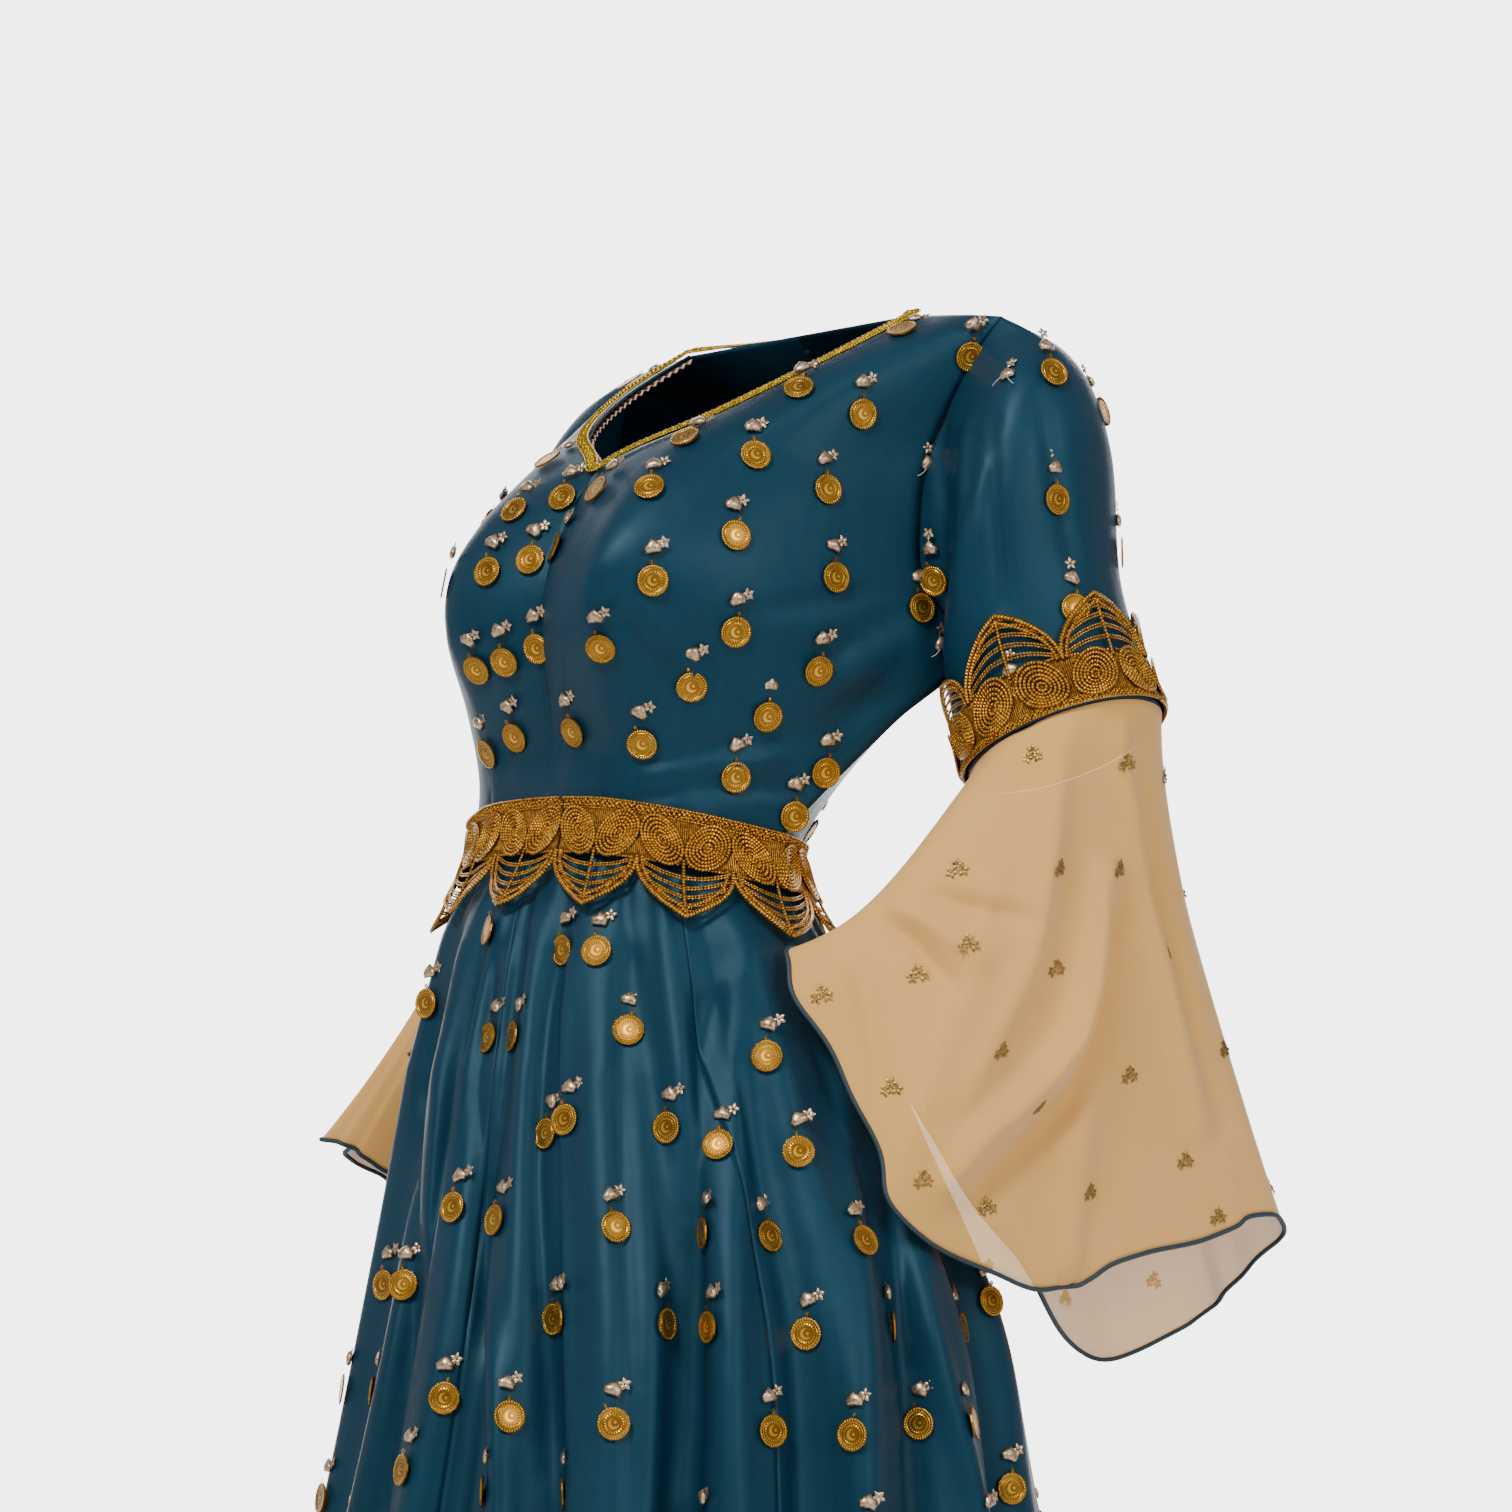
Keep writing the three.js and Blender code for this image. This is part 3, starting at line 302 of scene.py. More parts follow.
def crease(grid, normals, table, gain=1.0):
    """Moves a grid along its normals by soft troughs and ridges that follow lines in space."""
    move = np.zeros(grid.shape[:2])
    for depth, width, line in table:
        line = np.asarray(line, float)
        steps = len(line) - 1
        best = np.full(grid.shape[:2], 1e9)
        place = np.zeros(grid.shape[:2])
        for k in range(steps):
            a, b = line[k], line[k + 1]
            t = np.clip(((grid - a) @ (b - a)) / ((b - a) @ (b - a)), 0, 1)
            d = np.linalg.norm(grid - a - t[..., None] * (b - a), axis=-1)
            place = np.where(d < best, (k + t) / steps, place)
            best = np.minimum(best, d)
        ends = np.sin(math.pi * np.clip(0.08 + 0.84 * place, 0, 1)) ** 0.6
        move += depth * ends * np.exp(-(best / width) ** 2)
    return grid + normals * (move * gain)[..., None]


# Meshes
def link(name, bm, material, smooth=True):
    mesh = bpy.data.meshes.new(name)
    bm.to_mesh(mesh)
    bm.free()
    obj = bpy.data.objects.new(name, mesh)
    bpy.context.scene.collection.objects.link(obj)
    mesh.materials.append(material)
    if smooth:
        mesh.polygons.foreach_set("use_smooth", [True] * len(mesh.polygons))
    return obj


def add_grid(bm, points, uv=None, closed=False):
    """Adds a grid of points in millimetres; uv holds a pair for each point. A closed one is welded round."""
    if closed:
        points = np.concatenate([points, points[:, :1]], 1)
    h, w = points.shape[:2]
    made = bmesh.ops.create_grid(bm, x_segments=w - 1, y_segments=h - 1, size=1.0)["verts"]
    where = {}
    for v in made:
        i = round((v.co.x + 1) / 2 * (w - 1))
        j = round((v.co.y + 1) / 2 * (h - 1))
        where[v] = (j, i)
    layer = bm.loops.layers.uv.verify()
    if uv is not None:
        faces = {f for v in made for f in v.link_faces}
        for f in faces:
            for loop in f.loops:
                loop[layer].uv = uv[where[loop.vert]]
    for v, (j, i) in where.items():
        v.co = Vector(points[j, i] * MM)
    if closed:
        ends = [v for v, (j, i) in where.items() if i in (0, w - 1)]
        bmesh.ops.remove_doubles(bm, verts=ends, dist=1e-7)
    return where


def cloth_uv(points, closed=False):
    """Length along and up the cloth in metres at each point of a grid."""
    if closed:
        points = np.concatenate([points, points[:, :1]], 1)
    across = np.linalg.norm(np.diff(points, axis=1), axis=-1).mean(0)
    up = np.linalg.norm(np.diff(points, axis=0), axis=-1).mean(1)
    u = np.concatenate([[0], np.cumsum(across)]) * MM
    v = np.concatenate([[0], np.cumsum(up)]) * MM
    return np.stack(np.meshgrid(u, v), -1)


def cloth(name, points, material, closed=False, thickness=0.8, drop=None):
    """One cloth piece from a grid; drop names the cells that are cut away."""
    bm = bmesh.new()
    where = add_grid(bm, points, cloth_uv(points, closed), closed)
    if drop is not None:
        gone = [f for f in bm.faces if all(v.is_valid and v in where for v in f.verts)
                and drop(min(where[v][0] for v in f.verts), min(where[v][1] for v in f.verts))]
        bmesh.ops.delete(bm, geom=gone, context="FACES")
    obj = link(name, bm, material)
    solid = obj.modifiers.new("thickness", "SOLIDIFY")
    solid.thickness = thickness * MM
    solid.offset = -1
    return obj


def tube(bm, line, radius, sides=5, closed=False, flat=1.0, normals=None):
    """Adds a cord along a line of points in millimetres."""
    line = np.asarray(line, float)
    if closed:
        tangent = np.roll(line, -1, 0) - np.roll(line, 1, 0)
    else:
        tangent = np.gradient(line, axis=0)
    tangent /= np.linalg.norm(tangent, axis=1, keepdims=True) + 1e-12
    if normals is None:
        normals = np.cross(tangent, np.array([0.31, 0.2, 0.93]))
    normals = normals - tangent * np.sum(normals * tangent, 1, keepdims=True)
    normals /= np.linalg.norm(normals, axis=1, keepdims=True) + 1e-12
    other = np.cross(tangent, normals)
    a = np.arange(sides) / sides * 2 * math.pi
    ring = (line[None] + radius * (np.sin(a)[:, None, None] * other[None]
                                   + flat * np.cos(a)[:, None, None] * normals[None]))
    ring = np.concatenate([ring, ring[:1]], 0)
    if closed:
        ring = np.concatenate([ring, ring[:, :1]], 1)
    h, w = ring.shape[:2]
    made = bmesh.ops.create_grid(bm, x_segments=w - 1, y_segments=h - 1, size=1.0)["verts"]
    layer = bm.loops.layers.uv.verify()
    step = np.linalg.norm(np.diff(ring[0], axis=0), axis=1)
    s = np.concatenate([[0], np.cumsum(step)]) * MM
    where = {v: (round((v.co.y + 1) / 2 * (h - 1)), round((v.co.x + 1) / 2 * (w - 1))) for v in made}
    for f in {f for v in made for f in v.link_faces}:
        for loop in f.loops:
            j, i = where[loop.vert]
            loop[layer].uv = (s[i], j / sides)
    for v, (j, i) in where.items():
        v.co = Vector(ring[j, i] * MM)
    ends = [v for v, (j, i) in where.items() if j in (0, h - 1) or (closed and i in (0, w - 1))]
    bmesh.ops.remove_doubles(bm, verts=ends, dist=1e-7)


# Materials
class Socket:
    """A node output that sums, scales and compares like a number."""

    def __init__(self, tree, out):
        self.tree = tree
        self.out = out

    def _math(self, kind, a, b=None):
        return node(self.tree, "ShaderNodeMath", {"operation": kind}, a, *(() if b is None else (b,)))

    def __add__(self, other):
        return self._math("ADD", self, other)

    def __radd__(self, other):
        return self._math("ADD", other, self)

    def __sub__(self, other):
        return self._math("SUBTRACT", self, other)

    def __rsub__(self, other):
        return self._math("SUBTRACT", other, self)

    def __mul__(self, other):
        return self._math("MULTIPLY", self, other)

    def __rmul__(self, other):
        return self._math("MULTIPLY", other, self)

    def __truediv__(self, other):
        return self._math("DIVIDE", self, other)

    def __rtruediv__(self, other):
        return self._math("DIVIDE", other, self)

    def __gt__(self, other):
        return self._math("GREATER_THAN", self, other)

    def __lt__(self, other):
        return self._math("LESS_THAN", self, other)


def node(tree, kind, settings, *inputs, output=0, **named):
    """Makes a node, sets it and feeds its inputs with numbers or sockets."""
    made = tree.nodes.new(kind)
    for key, value in settings.items():
        setattr(made, key, value)
    for key, value in list(enumerate(inputs)) + list(named.items()):
        socket = made.inputs[key if isinstance(key, int) else key.replace("_", " ")]
        if isinstance(value, Socket):
            tree.links.new(value.out, socket)
        elif value is not None:
            socket.default_value = value
    return Socket(tree, made.outputs[output])


def new_material(name):
    material = bpy.data.materials.new(name)
    material.use_nodes = True
    tree = material.node_tree
    return material, tree, tree.nodes["Principled BSDF"]


def feed(tree, shader, name, value):
    socket = shader.inputs[name]
    if isinstance(value, Socket):
        tree.links.new(value.out, socket)
    else:
        socket.default_value = value


def mix(tree, share, a, b):
    """Colour between a and b; the mix node takes colours at its sockets 6 and 7."""
    return node(tree, "ShaderNodeMix", {"data_type": "RGBA"}, share, *[None] * 5, a, b, output=2)


def uv_of(tree):
    """Lengths along and up the cloth from the UV map, and the map itself."""
    source = node(tree, "ShaderNodeUVMap", {})
    along_cloth = node(tree, "ShaderNodeSeparateXYZ", {}, source)
    return along_cloth, Socket(tree, along_cloth.out.node.outputs[1]), source


def noise(tree, scale, detail=3.0, vector=None):
    """Cloudy values over the object's own coordinates, or over the vector given."""
    if vector is None:
        vector = node(tree, "ShaderNodeTexCoord", {}, output=3)
    return node(tree, "ShaderNodeTexNoise", {}, Vector=vector, Scale=scale, Detail=detail)


def bump(tree, height, strength, distance):
    return node(tree, "ShaderNodeBump", {}, Strength=strength, Distance=distance, Height=height)


def colour(hexa, alpha=1.0):
    """Linear colour from a display colour given as three values from 0 to 255."""
    def lin(c):
        c /= 255
        return c / 12.92 if c <= 0.04045 else ((c + 0.055) / 1.055) ** 2.4
    return tuple(lin(c) for c in hexa) + (alpha,)


def satin_material(name, light, dark):
    material, tree, shader = new_material(name)
    u, v, uv = uv_of(tree)
    cloudy = noise(tree, 7.0)
    streak = noise(tree, 160.0, 2.0, node(tree, "ShaderNodeMapping", {}, uv, Scale=(1.0, 0.03, 1.0)))
    base = mix(tree, cloudy * 0.7 + streak * 0.3, dark, light)
    weave = node(tree, "ShaderNodeMath", {"operation": "SINE"}, (u + v) * 5200.0)
    feed(tree, shader, "Base Color", base)
    feed(tree, shader, "Roughness", streak * 0.16 + 0.36)
    feed(tree, shader, "Specular IOR Level", 0.36)
    feed(tree, shader, "Specular Tint", colour((150, 205, 220)))
    feed(tree, shader, "Anisotropic", 0.35)
    rumple = noise(tree, 13.0, 3.0)
    fine = bump(tree, weave * 0.15 + streak, 0.25, 0.0006)
    feed(tree, shader, "Normal", node(tree, "ShaderNodeBump", {}, Strength=0.3, Distance=0.008, Height=rumple,
                                      Normal=fine))
    return material


def chiffon_material(name, tone, density):
    material, tree, shader = new_material(name)
    u, v = uv_of(tree)[:2]
    thread = (node(tree, "ShaderNodeMath", {"operation": "SINE"}, u * 6300.0)
              + node(tree, "ShaderNodeMath", {"operation": "SINE"}, v * 6300.0))
    cloudy = noise(tree, 9.0)
    feed(tree, shader, "Base Color", mix(tree, cloudy, tone, tuple(c * 0.82 for c in tone[:3]) + (1.0,)))
    feed(tree, shader, "Roughness", 0.75)
    feed(tree, shader, "Sheen Weight", 0.3)
    feed(tree, shader, "Alpha", thread * 0.05 + cloudy * 0.08 + density)
    feed(tree, shader, "Normal", bump(tree, thread, 0.2, 0.0003))
    return material


def metal_thread_material(name, light, dark, rough=0.34, twist=2600.0):
    material, tree, shader = new_material(name)
    u, v = uv_of(tree)[:2]
    strand = node(tree, "ShaderNodeMath", {"operation": "SINE"}, u * twist + v * 6.283)
    spots = noise(tree, 420.0, 2.0)
    feed(tree, shader, "Base Color", mix(tree, spots * 1.8 + strand * 0.3 - 0.4, dark, light))
    feed(tree, shader, "Metallic", 0.85)
    feed(tree, shader, "Roughness", spots * 0.2 + rough - 0.1)
    feed(tree, shader, "Normal", bump(tree, strand + spots, 0.6, 0.0006))
    return material


def plain_material(name, tone, rough, metallic=0.0):
    material, tree, shader = new_material(name)
    fine = noise(tree, 900.0, 1.0)
    feed(tree, shader, "Base Color", mix(tree, fine, tone, tuple(c * 0.7 for c in tone[:3]) + (1.0,)))
    feed(tree, shader, "Roughness", rough)
    feed(tree, shader, "Metallic", metallic)
    return material


def coin_material(name, light, dark):
    """Beaded rim, inner ring, a crescent and a dot with ticks round them, from the distance to the middle;
    the raised relief is painted lighter as a highlight and the hollows darker as painted shade.
    """
    material, tree, shader = new_material(name)
    u, v = uv_of(tree)[:2]

    def length(x, y):
        return node(tree, "ShaderNodeMath", {"operation": "SQRT"}, x * x + y * y)

    def band(r, middle, half):
        off = node(tree, "ShaderNodeMath", {"operation": "ABSOLUTE"}, r - middle)
        return node(tree, "ShaderNodeMath", {"operation": "SMOOTH_MAX"}, 1.0 - off / half, 0.0, 0.1)

    r = length(u, v)
    angle = node(tree, "ShaderNodeMath", {"operation": "ARCTAN2"}, v, u)
    beads = node(tree, "ShaderNodeMath", {"operation": "SINE"}, angle * 34.0) * 0.5 + 0.5
    ticks = (node(tree, "ShaderNodeMath", {"operation": "SINE"}, angle * 22.0)) > 0.0
    crescent = (r < 0.34) * (length(u - 0.12, v - 0.06) > 0.27)
    dot = length(u - 0.12, v - 0.04) < 0.09
    height = (band(r, 0.88, 0.1) * beads + band(r, 0.74, 0.05) * 0.8
              + band(r, 0.56, 0.1) * ticks * 0.7 + crescent + dot)
    worn = noise(tree, 90.0, 2.0)
    # Painted light and shade: the raised relief takes the light gold as a painted highlight, the hollows the
    # dark gold as painted shade, with random worn spots between
    feed(tree, shader, "Base Color", mix(tree, height * 0.75 + worn * 0.3, dark, light))
    feed(tree, shader, "Metallic", 0.9)
    feed(tree, shader, "Roughness", worn * 0.2 + 0.22)
    feed(tree, shader, "Normal", bump(tree, height, 0.9, 0.0006))
    return material


MADE = {}


def finish(name):
    """Material by name, made once from the panel's colours."""
    if name in MADE:
        return MADE[name]
    s = bpy.context.scene.dress_colours
    makers = {
        "satin": lambda: satin_material("teal satin", tuple(c * 1.2 for c in s.teal) + (1.0,),
                                        tuple(c * 0.5 for c in s.teal) + (1.0,)),
        "chiffon": lambda: chiffon_material("peach chiffon", tuple(s.chiffon) + (1.0,), s.chiffon_density),
        "hem": lambda: plain_material("rolled hem thread", tuple(s.hem) + (1.0,), 0.6),
        "lace": lambda: metal_thread_material(
            "gold metallic thread", tuple(s.gold) + (1.0,), colour((92, 52, 14))),
        "net": lambda: metal_thread_material(
            "lace field", colour((176, 120, 40)), colour((72, 40, 12)), 0.45, 4200.0),
        "braid": lambda: metal_thread_material(
            "yellow braid", colour((226, 190, 50)), colour((150, 105, 10))),
        "bud": lambda: metal_thread_material(
            "silver gold thread", colour((228, 200, 164)), colour((110, 82, 62))),
        "sprig": lambda: metal_thread_material(
            "antique gold thread", colour((190, 150, 84)), colour((100, 72, 34))),
        # The coins' light and dark golds are a painted highlight colour and a painted shade colour
        "coin": lambda: coin_material("gold coin", colour((228, 172, 62)), colour((120, 78, 18))),
        "facing": lambda: plain_material("facing satin", colour((215, 170, 150)), 0.55),
        "grey": lambda: plain_material("loose thread", colour((170, 176, 184)), 0.7),
    }
    MADE[name] = makers[name]()
    return MADE[name]


# Settings
class DressColours(bpy.types.PropertyGroup):
    """Colours of the gown"""
    teal: bpy.props.FloatVectorProperty(name="Satin", description="Colour of the satin", subtype="COLOR",
                                        size=3, min=0, max=1, default=colour((17, 48, 66))[:3])
    chiffon: bpy.props.FloatVectorProperty(
        name="Chiffon", description="Colour of the flounces", subtype="COLOR",
        size=3, min=0, max=1, default=colour((240, 182, 92))[:3])
    chiffon_density: bpy.props.FloatProperty(name="Chiffon density", description="How much the chiffon hides",
                                             subtype="FACTOR", min=0, max=1, default=0.72)
    hem: bpy.props.FloatVectorProperty(
        name="Rolled hem", description="Colour of the rolled hems", subtype="COLOR",
        size=3, min=0, max=1, default=colour((34, 52, 62))[:3])
    gold: bpy.props.FloatVectorProperty(
        name="Lace gold", description="Colour of the lace thread", subtype="COLOR",
        size=3, min=0, max=1, default=colour((228, 164, 58))[:3])


class DressSizes(bpy.types.PropertyGroup):
    """Sizes of the trimmings"""
    coin: bpy.props.FloatProperty(name="Coin", description="Diameter of a coin", subtype="DISTANCE",
                                  unit="LENGTH", default=0.0225)
    spacing: bpy.props.FloatProperty(name="Coin spacing", description="Distance between coins in a row",
                                     subtype="DISTANCE", unit="LENGTH", default=0.073)
    pucker: bpy.props.FloatProperty(name="Facing pucker", description="Height of the facing's puckers",
                                    subtype="DISTANCE", unit="LENGTH", default=0.0016)


# Lines and places read in the photo: the solid that each lies on, then pixels across and down
PHOTO_LINES = {
    "first drag fold": ("bodice", (600, 585), (620, 625), (660, 665), (745, 730)),
    "second drag fold": ("bodice", (660, 600), (700, 650), (760, 715), (800, 780)),
    "upper waist fold": ("bodice", (640, 760), (720, 745), (800, 735)),
    "lower waist fold": ("bodice", (650, 795), (730, 785), (790, 790)),
    "bust dart": ("bodice", (614, 662), (619, 725), (622, 800)),
    "right upright fold": ("bodice", (520, 640), (515, 700), (505, 770)),
    "middle upright fold": ("bodice", (560, 650), (560, 720), (550, 790)),
    "left upright fold": ("bodice", (690, 720), (700, 770), (710, 810)),
    "upper armhole fold": ("bodice", (905, 609), (860, 640), (800, 660)),
    "lower armhole fold": ("bodice", (915, 640), (880, 690), (830, 730)),
    "short armhole fold": ("bodice", (880, 590), (830, 600)),
    "front sleeve fold": ("sleeve_left", (945, 420), (943, 500), (948, 600)),
    "middle sleeve fold": ("sleeve_left", (995, 420), (993, 500), (1000, 610)),
    "outer sleeve fold": ("sleeve_left", (1040, 400), (1050, 460), (1075, 560)),
    "low flounce hook": ("flounce_left", (882, 919), (913, 939), (932, 962), (955, 987)),
    "high flounce hook": ("flounce_left", (938, 897), (970, 907), (1001, 914), (1028, 920)),
    "long flounce sweep": ("flounce_left", (1104, 880), (1098, 937), (1090, 987), (1075, 1041), (1048, 1071),
                           (1018, 1102), (983, 1133), (945, 1182)),
    "outer flounce fold": ("flounce_left", (1120, 740), (1135, 850), (1160, 960), (1200, 1120)),
    "middle flounce fold": ("flounce_left", (1060, 740), (1050, 850), (1030, 960), (970, 1090)),
    "front flounce fold": ("flounce_left", (850, 940), (870, 1010), (880, 1090)),
    "skirt third pleat": ("skirt", (709, 1007), (702, 1090), (695, 1180), (688, 1300), (687, 1400),
                          (682, 1500)),
    "skirt far pleat": ("skirt", (434, 1010), (425, 1090)),
    "skirt far pleat foot": ("skirt", (415, 1257)),
    "skirt far ridge": ("skirt", (464, 951), (451, 1027), (443, 1078), (438, 1180)),
    "skirt first ridge": ("skirt", (736, 980), (733, 1100), (733, 1250), (735, 1400), (738, 1490)),
    "skirt second ridge": ("skirt", (836, 1010), (845, 1100), (855, 1250), (864, 1400), (866, 1490)),
    "skirt side pleat": ("skirt", (886, 1100), (895, 1220), (905, 1330), (912, 1440)),
    "skirt side ridge": ("skirt", (918, 1273), (932, 1330), (950, 1400), (978, 1500)),
    "skirt middle pleat": ("skirt", (625, 960), (622, 1060), (624, 1180), (630, 1320), (634, 1480)),
    "bodice coins": (
        "bodice_front", (902, 333), (970, 355), (862, 413), (797, 390), (757, 455), (833, 491), (650, 488),
        (688, 440), (737, 537), (545, 465), (515, 510), (565, 500), (600, 490), (449, 585), (490, 575),
        (532, 558), (558, 550), (647, 578), (830, 582), (476, 668), (508, 657), (540, 648), (601, 648),
        (729, 632), (815, 672), (690, 688), (766, 715), (490, 752), (517, 738), (576, 730), (646, 742),
        (735, 780), (824, 770), (795, 815)),
    "sleeve coins": ("sleeve_left", (1059, 500), (1073, 607), (936, 580)),
    "skirt coins": (
        "skirt",
        (491, 935), (565, 945), (598, 947), (515, 1038), (486, 1035), (628, 1033), (571, 1125),
        (543, 1130), (667, 1125), (768, 1060), (719, 1147), (799, 1150), (457, 1205), (500, 1228),
        (614, 1227), (695, 1235), (768, 1243), (852, 1242), (384, 1286), (405, 1290), (549, 1318),
        (572, 1316), (666, 1326), (718, 1332), (809, 1335), (893, 1330), (961, 1330), (985, 1310),
        (448, 1395), (505, 1416), (613, 1422), (771, 1436), (859, 1434), (912, 1420), (963, 1425),
        (403, 1475), (480, 1490), (560, 1500), (1012, 1495)),
    "sprigs": (
        "flounce_left",
        (1032, 760), (1053, 870), (1115, 870), (957, 873), (1170, 955), (967, 948), (915, 978),
        (1057, 973), (893, 1090), (998, 1053), (1128, 1076), (1224, 1054), (1033, 1106), (1088, 1193),
        (988, 1213), (1186, 1160), (1216, 1218), (1152, 1282)),
}
TREES = {}


def solids_tree(start):
    """Search tree of the solids whose names start so."""
    points, faces = [], []
    for name, solid in sorted(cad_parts.items()):
        if name.startswith(start):
            first = len(points)
            points.extend(v.co.copy() for v in solid.data.vertices)
            faces.extend([first + k for k in face.vertices] for face in solid.data.polygons)
    return BVHTree.FromPolygons(points, faces)


def seen(name):
    """Points in whole millimetres where the lines of sight through a photo line's pixels meet the solids."""
    start, *pixels = PHOTO_LINES[name]
    if start not in TREES:
        TREES[start] = solids_tree(start)
    found = []
    for across, down in pixels:
        ray = (SIGHT_LINE + SIGHT_RIGHT * ((across - PHOTO_MIDDLE) / FOCAL_PIXELS)
               - SIGHT_UP * ((down - PHOTO_MIDDLE) / FOCAL_PIXELS))
        hit = TREES[start].ray_cast(SIGHT_PLACE, ray)[0]
        if hit is None:
            raise RuntimeError(f"the line of sight misses the solids: {name} {across} {down}")
        found.append(tuple(round(v / MM) for v in hit))
    return tuple(found)


# Creases: depth (minus for a trough) and half width in millimetres, then points of the line. Lines
# without a name hold points that were set or shifted one by one: ridges beside troughs, the first two
# pleats, folds that the photo doesn't show, and the run of a pleat below the picture
FRONT_CREASES = (
    (-3.5, 8, seen("first drag fold")),
    (2.5, 9, ((66, -236, -228), (76, -214, -256), (84, -180, -288), (104, -128, -328))),
    (-3.5, 8, seen("second drag fold")),
    (-2, 6, seen("upper waist fold")),
    (-2, 6, seen("lower waist fold")),
    (2, 6, ((42, -196, -353), (84, -157, -344), (108, -108, -340))),
    (-1.4, 7, seen("right upright fold")),
    (-1.4, 6, seen("middle upright fold")),
    (-1.6, 6, seen("left upright fold")),
    (-3, 8, seen("upper armhole fold")),
    (2.5, 8, ((153, -36, -239), (140, -66, -270), (121, -103, -293))),
    (-3, 8, seen("lower armhole fold")),
    (-2, 7, seen("short armhole fold") + ((120, -150, -236),)),
    (-1.0, 2.2, seen("bust dart")),
    (-1.0, 2.2, ((-115, -231, -273), (-112, -213, -316), (-118, -203, -369))),
    (-2.5, 8, ((-128, -238, -235), (-140, -212, -262), (-158, -150, -300))),
    (-2, 7, ((-122, -196, -345), (-160, -150, -336), (-178, -100, -330))),
)
SKIRT_CREASES = (
    (-7, 9, ((-61, -246, -482), (-56, -255, -526), (-48, -266, -583), (-36, -279, -648), (-24, -290, -709),
             (1, -311, -770), (20, -328, -849), (30, -340, -960), (36, -350, -1100), (40, -356, -1250))),
    (5, 10, ((-46, -251, -482), (-40, -260, -526), (-32, -272, -583), (-18, -284, -648), (-4, -296, -709),
             (22, -315, -770), (43, -331, -849), (56, -340, -960), (64, -350, -1100), (68, -356, -1250))),
    (-6, 9, ((-4, -238, -484), (-3, -249, -523), (6, -264, -583), (16, -276, -639), (36, -288, -714),
             (51, -295, -775), (68, -308, -848), (78, -318, -960), (84, -330, -1100), (88, -336, -1250))),
    (5, 10, ((12, -235, -484), (14, -245, -523), (23, -259, -583), (35, -270, -639), (56, -281, -714),
             (71, -287, -775), (89, -298, -848), (100, -308, -960), (108, -318, -1100), (112, -326, -1250))),
    (-9, 12, seen("skirt third pleat") + ((152, -270, -980), (160, -282, -1150), (166, -290, -1300))),
    (-6, 11, seen("skirt far pleat") + ((-122, -270, -640),) + seen("skirt far pleat foot")
     + ((-90, -305, -800), (-80, -325, -950), (-76, -338, -1150))),
    (5, 11, seen("skirt far ridge") + ((-84, -290, -740), (-70, -312, -880), (-62, -332, -1080))),
    (6, 12, seen("skirt first ridge") + ((194, -252, -980), (204, -262, -1150), (210, -268, -1300))),
    (6, 13, seen("skirt second ridge") + ((242, -176, -980), (256, -186, -1150), (264, -192, -1300))),
    (-9, 12, seen("skirt side pleat") + ((226, -112, -940), (240, -120, -1120), (250, -126, -1290))),
    (6, 10, seen("skirt side ridge") + ((254, -44, -980), (268, -30, -1120))),
    (-4, 9, seen("skirt middle pleat") + ((138, -300, -980),)),
)
BACK_CREASES = (
    (-3, 8, ((-150, -60, -340), (-95, -22, -332), (-45, -14, -338), (0, -18, -346))),
    (-2.5, 8, ((-120, -40, -366), (-60, -24, -372), (10, -26, -366), (50, -40, -360))),
    (-2, 10, ((20, 30, -230), (60, 20, -190), (90, 40, -150))),
    (-2, 10, ((-90, 28, -230), (-120, 20, -190), (-140, 36, -150))),
    (2, 10, ((-110, -30, -318), (-50, -8, -312), (10, -10, -318))),
)
LEFT_SLEEVE_CREASES = (
    (-3.5, 7, seen("front sleeve fold")),
    (3, 8, ((192, -22, -90), (200, -34, -150), (198, -30, -225))),
    (-3, 7, seen("middle sleeve fold")),
    (-2.5, 8, seen("outer sleeve fold")),
    (-3, 8, ((225, 90, -120), (235, 100, -180), (240, 105, -250))),
)
RIGHT_SLEEVE_CREASES = (
    (-3, 8, ((-238, -50, -110), (-252, -62, -170), (-262, -60, -240))),
    (-3, 8, ((-262, -10, -130), (-276, -12, -190), (-290, -4, -250))),
    (-3, 8, ((-232, 40, -120), (-242, 55, -190), (-250, 65, -250))),
)
LEFT_FLOUNCE_CREASES = (
    (-5, 7, seen("low flounce hook")),
    (4, 8, ((190, -95, -444), (206, -80, -456), (218, -68, -468), (232, -52, -484))),
    (-5, 7, seen("high flounce hook")),
    (8, 13, seen("long flounce sweep")),
    (-7, 12, ((264, 66, -440), (258, 68, -490), (250, 62, -540), (240, 42, -580), (230, 16, -608),
              (220, -12, -632), (212, -40, -654))),
    (5, 12, seen("outer flounce fold")),
    (-4, 12, ((274, 66, -330), (262, 100, -410), (255, 145, -490), (250, 195, -600))),
    (4, 12, seen("middle flounce fold")),
    (-4, 10, ((248, -12, -328), (240, -24, -400), (228, -34, -470))),
    (-3, 9, seen("front flounce fold")),
    (5, 14, ((200, 100, -400), (180, 190, -560), (165, 250, -690))),
)
RIGHT_FLOUNCE_CREASES = (
    (3, 8, ((-285, -40, -360), (-310, -90, -470), (-335, -140, -590))),
    (-3, 8, ((-296, 0, -360), (-325, -40, -480), (-352, -90, -600))),
    (3, 8, ((-280, 40, -370), (-310, 20, -500), (-345, -10, -650))),
)
# Buds without a coin: points on the cloth in millimetres
BARE_BUDS = ((222, -10, -60), (170, -18, -120), (166, -10, -252))

CLOTH = {}
PLACED = []


def remember(name, grid, closed=False):
    CLOTH[name] = (grid, grid_normals(grid, closed), closed)


def ride(*pieces):
    for piece in pieces:
        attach(piece, "root")


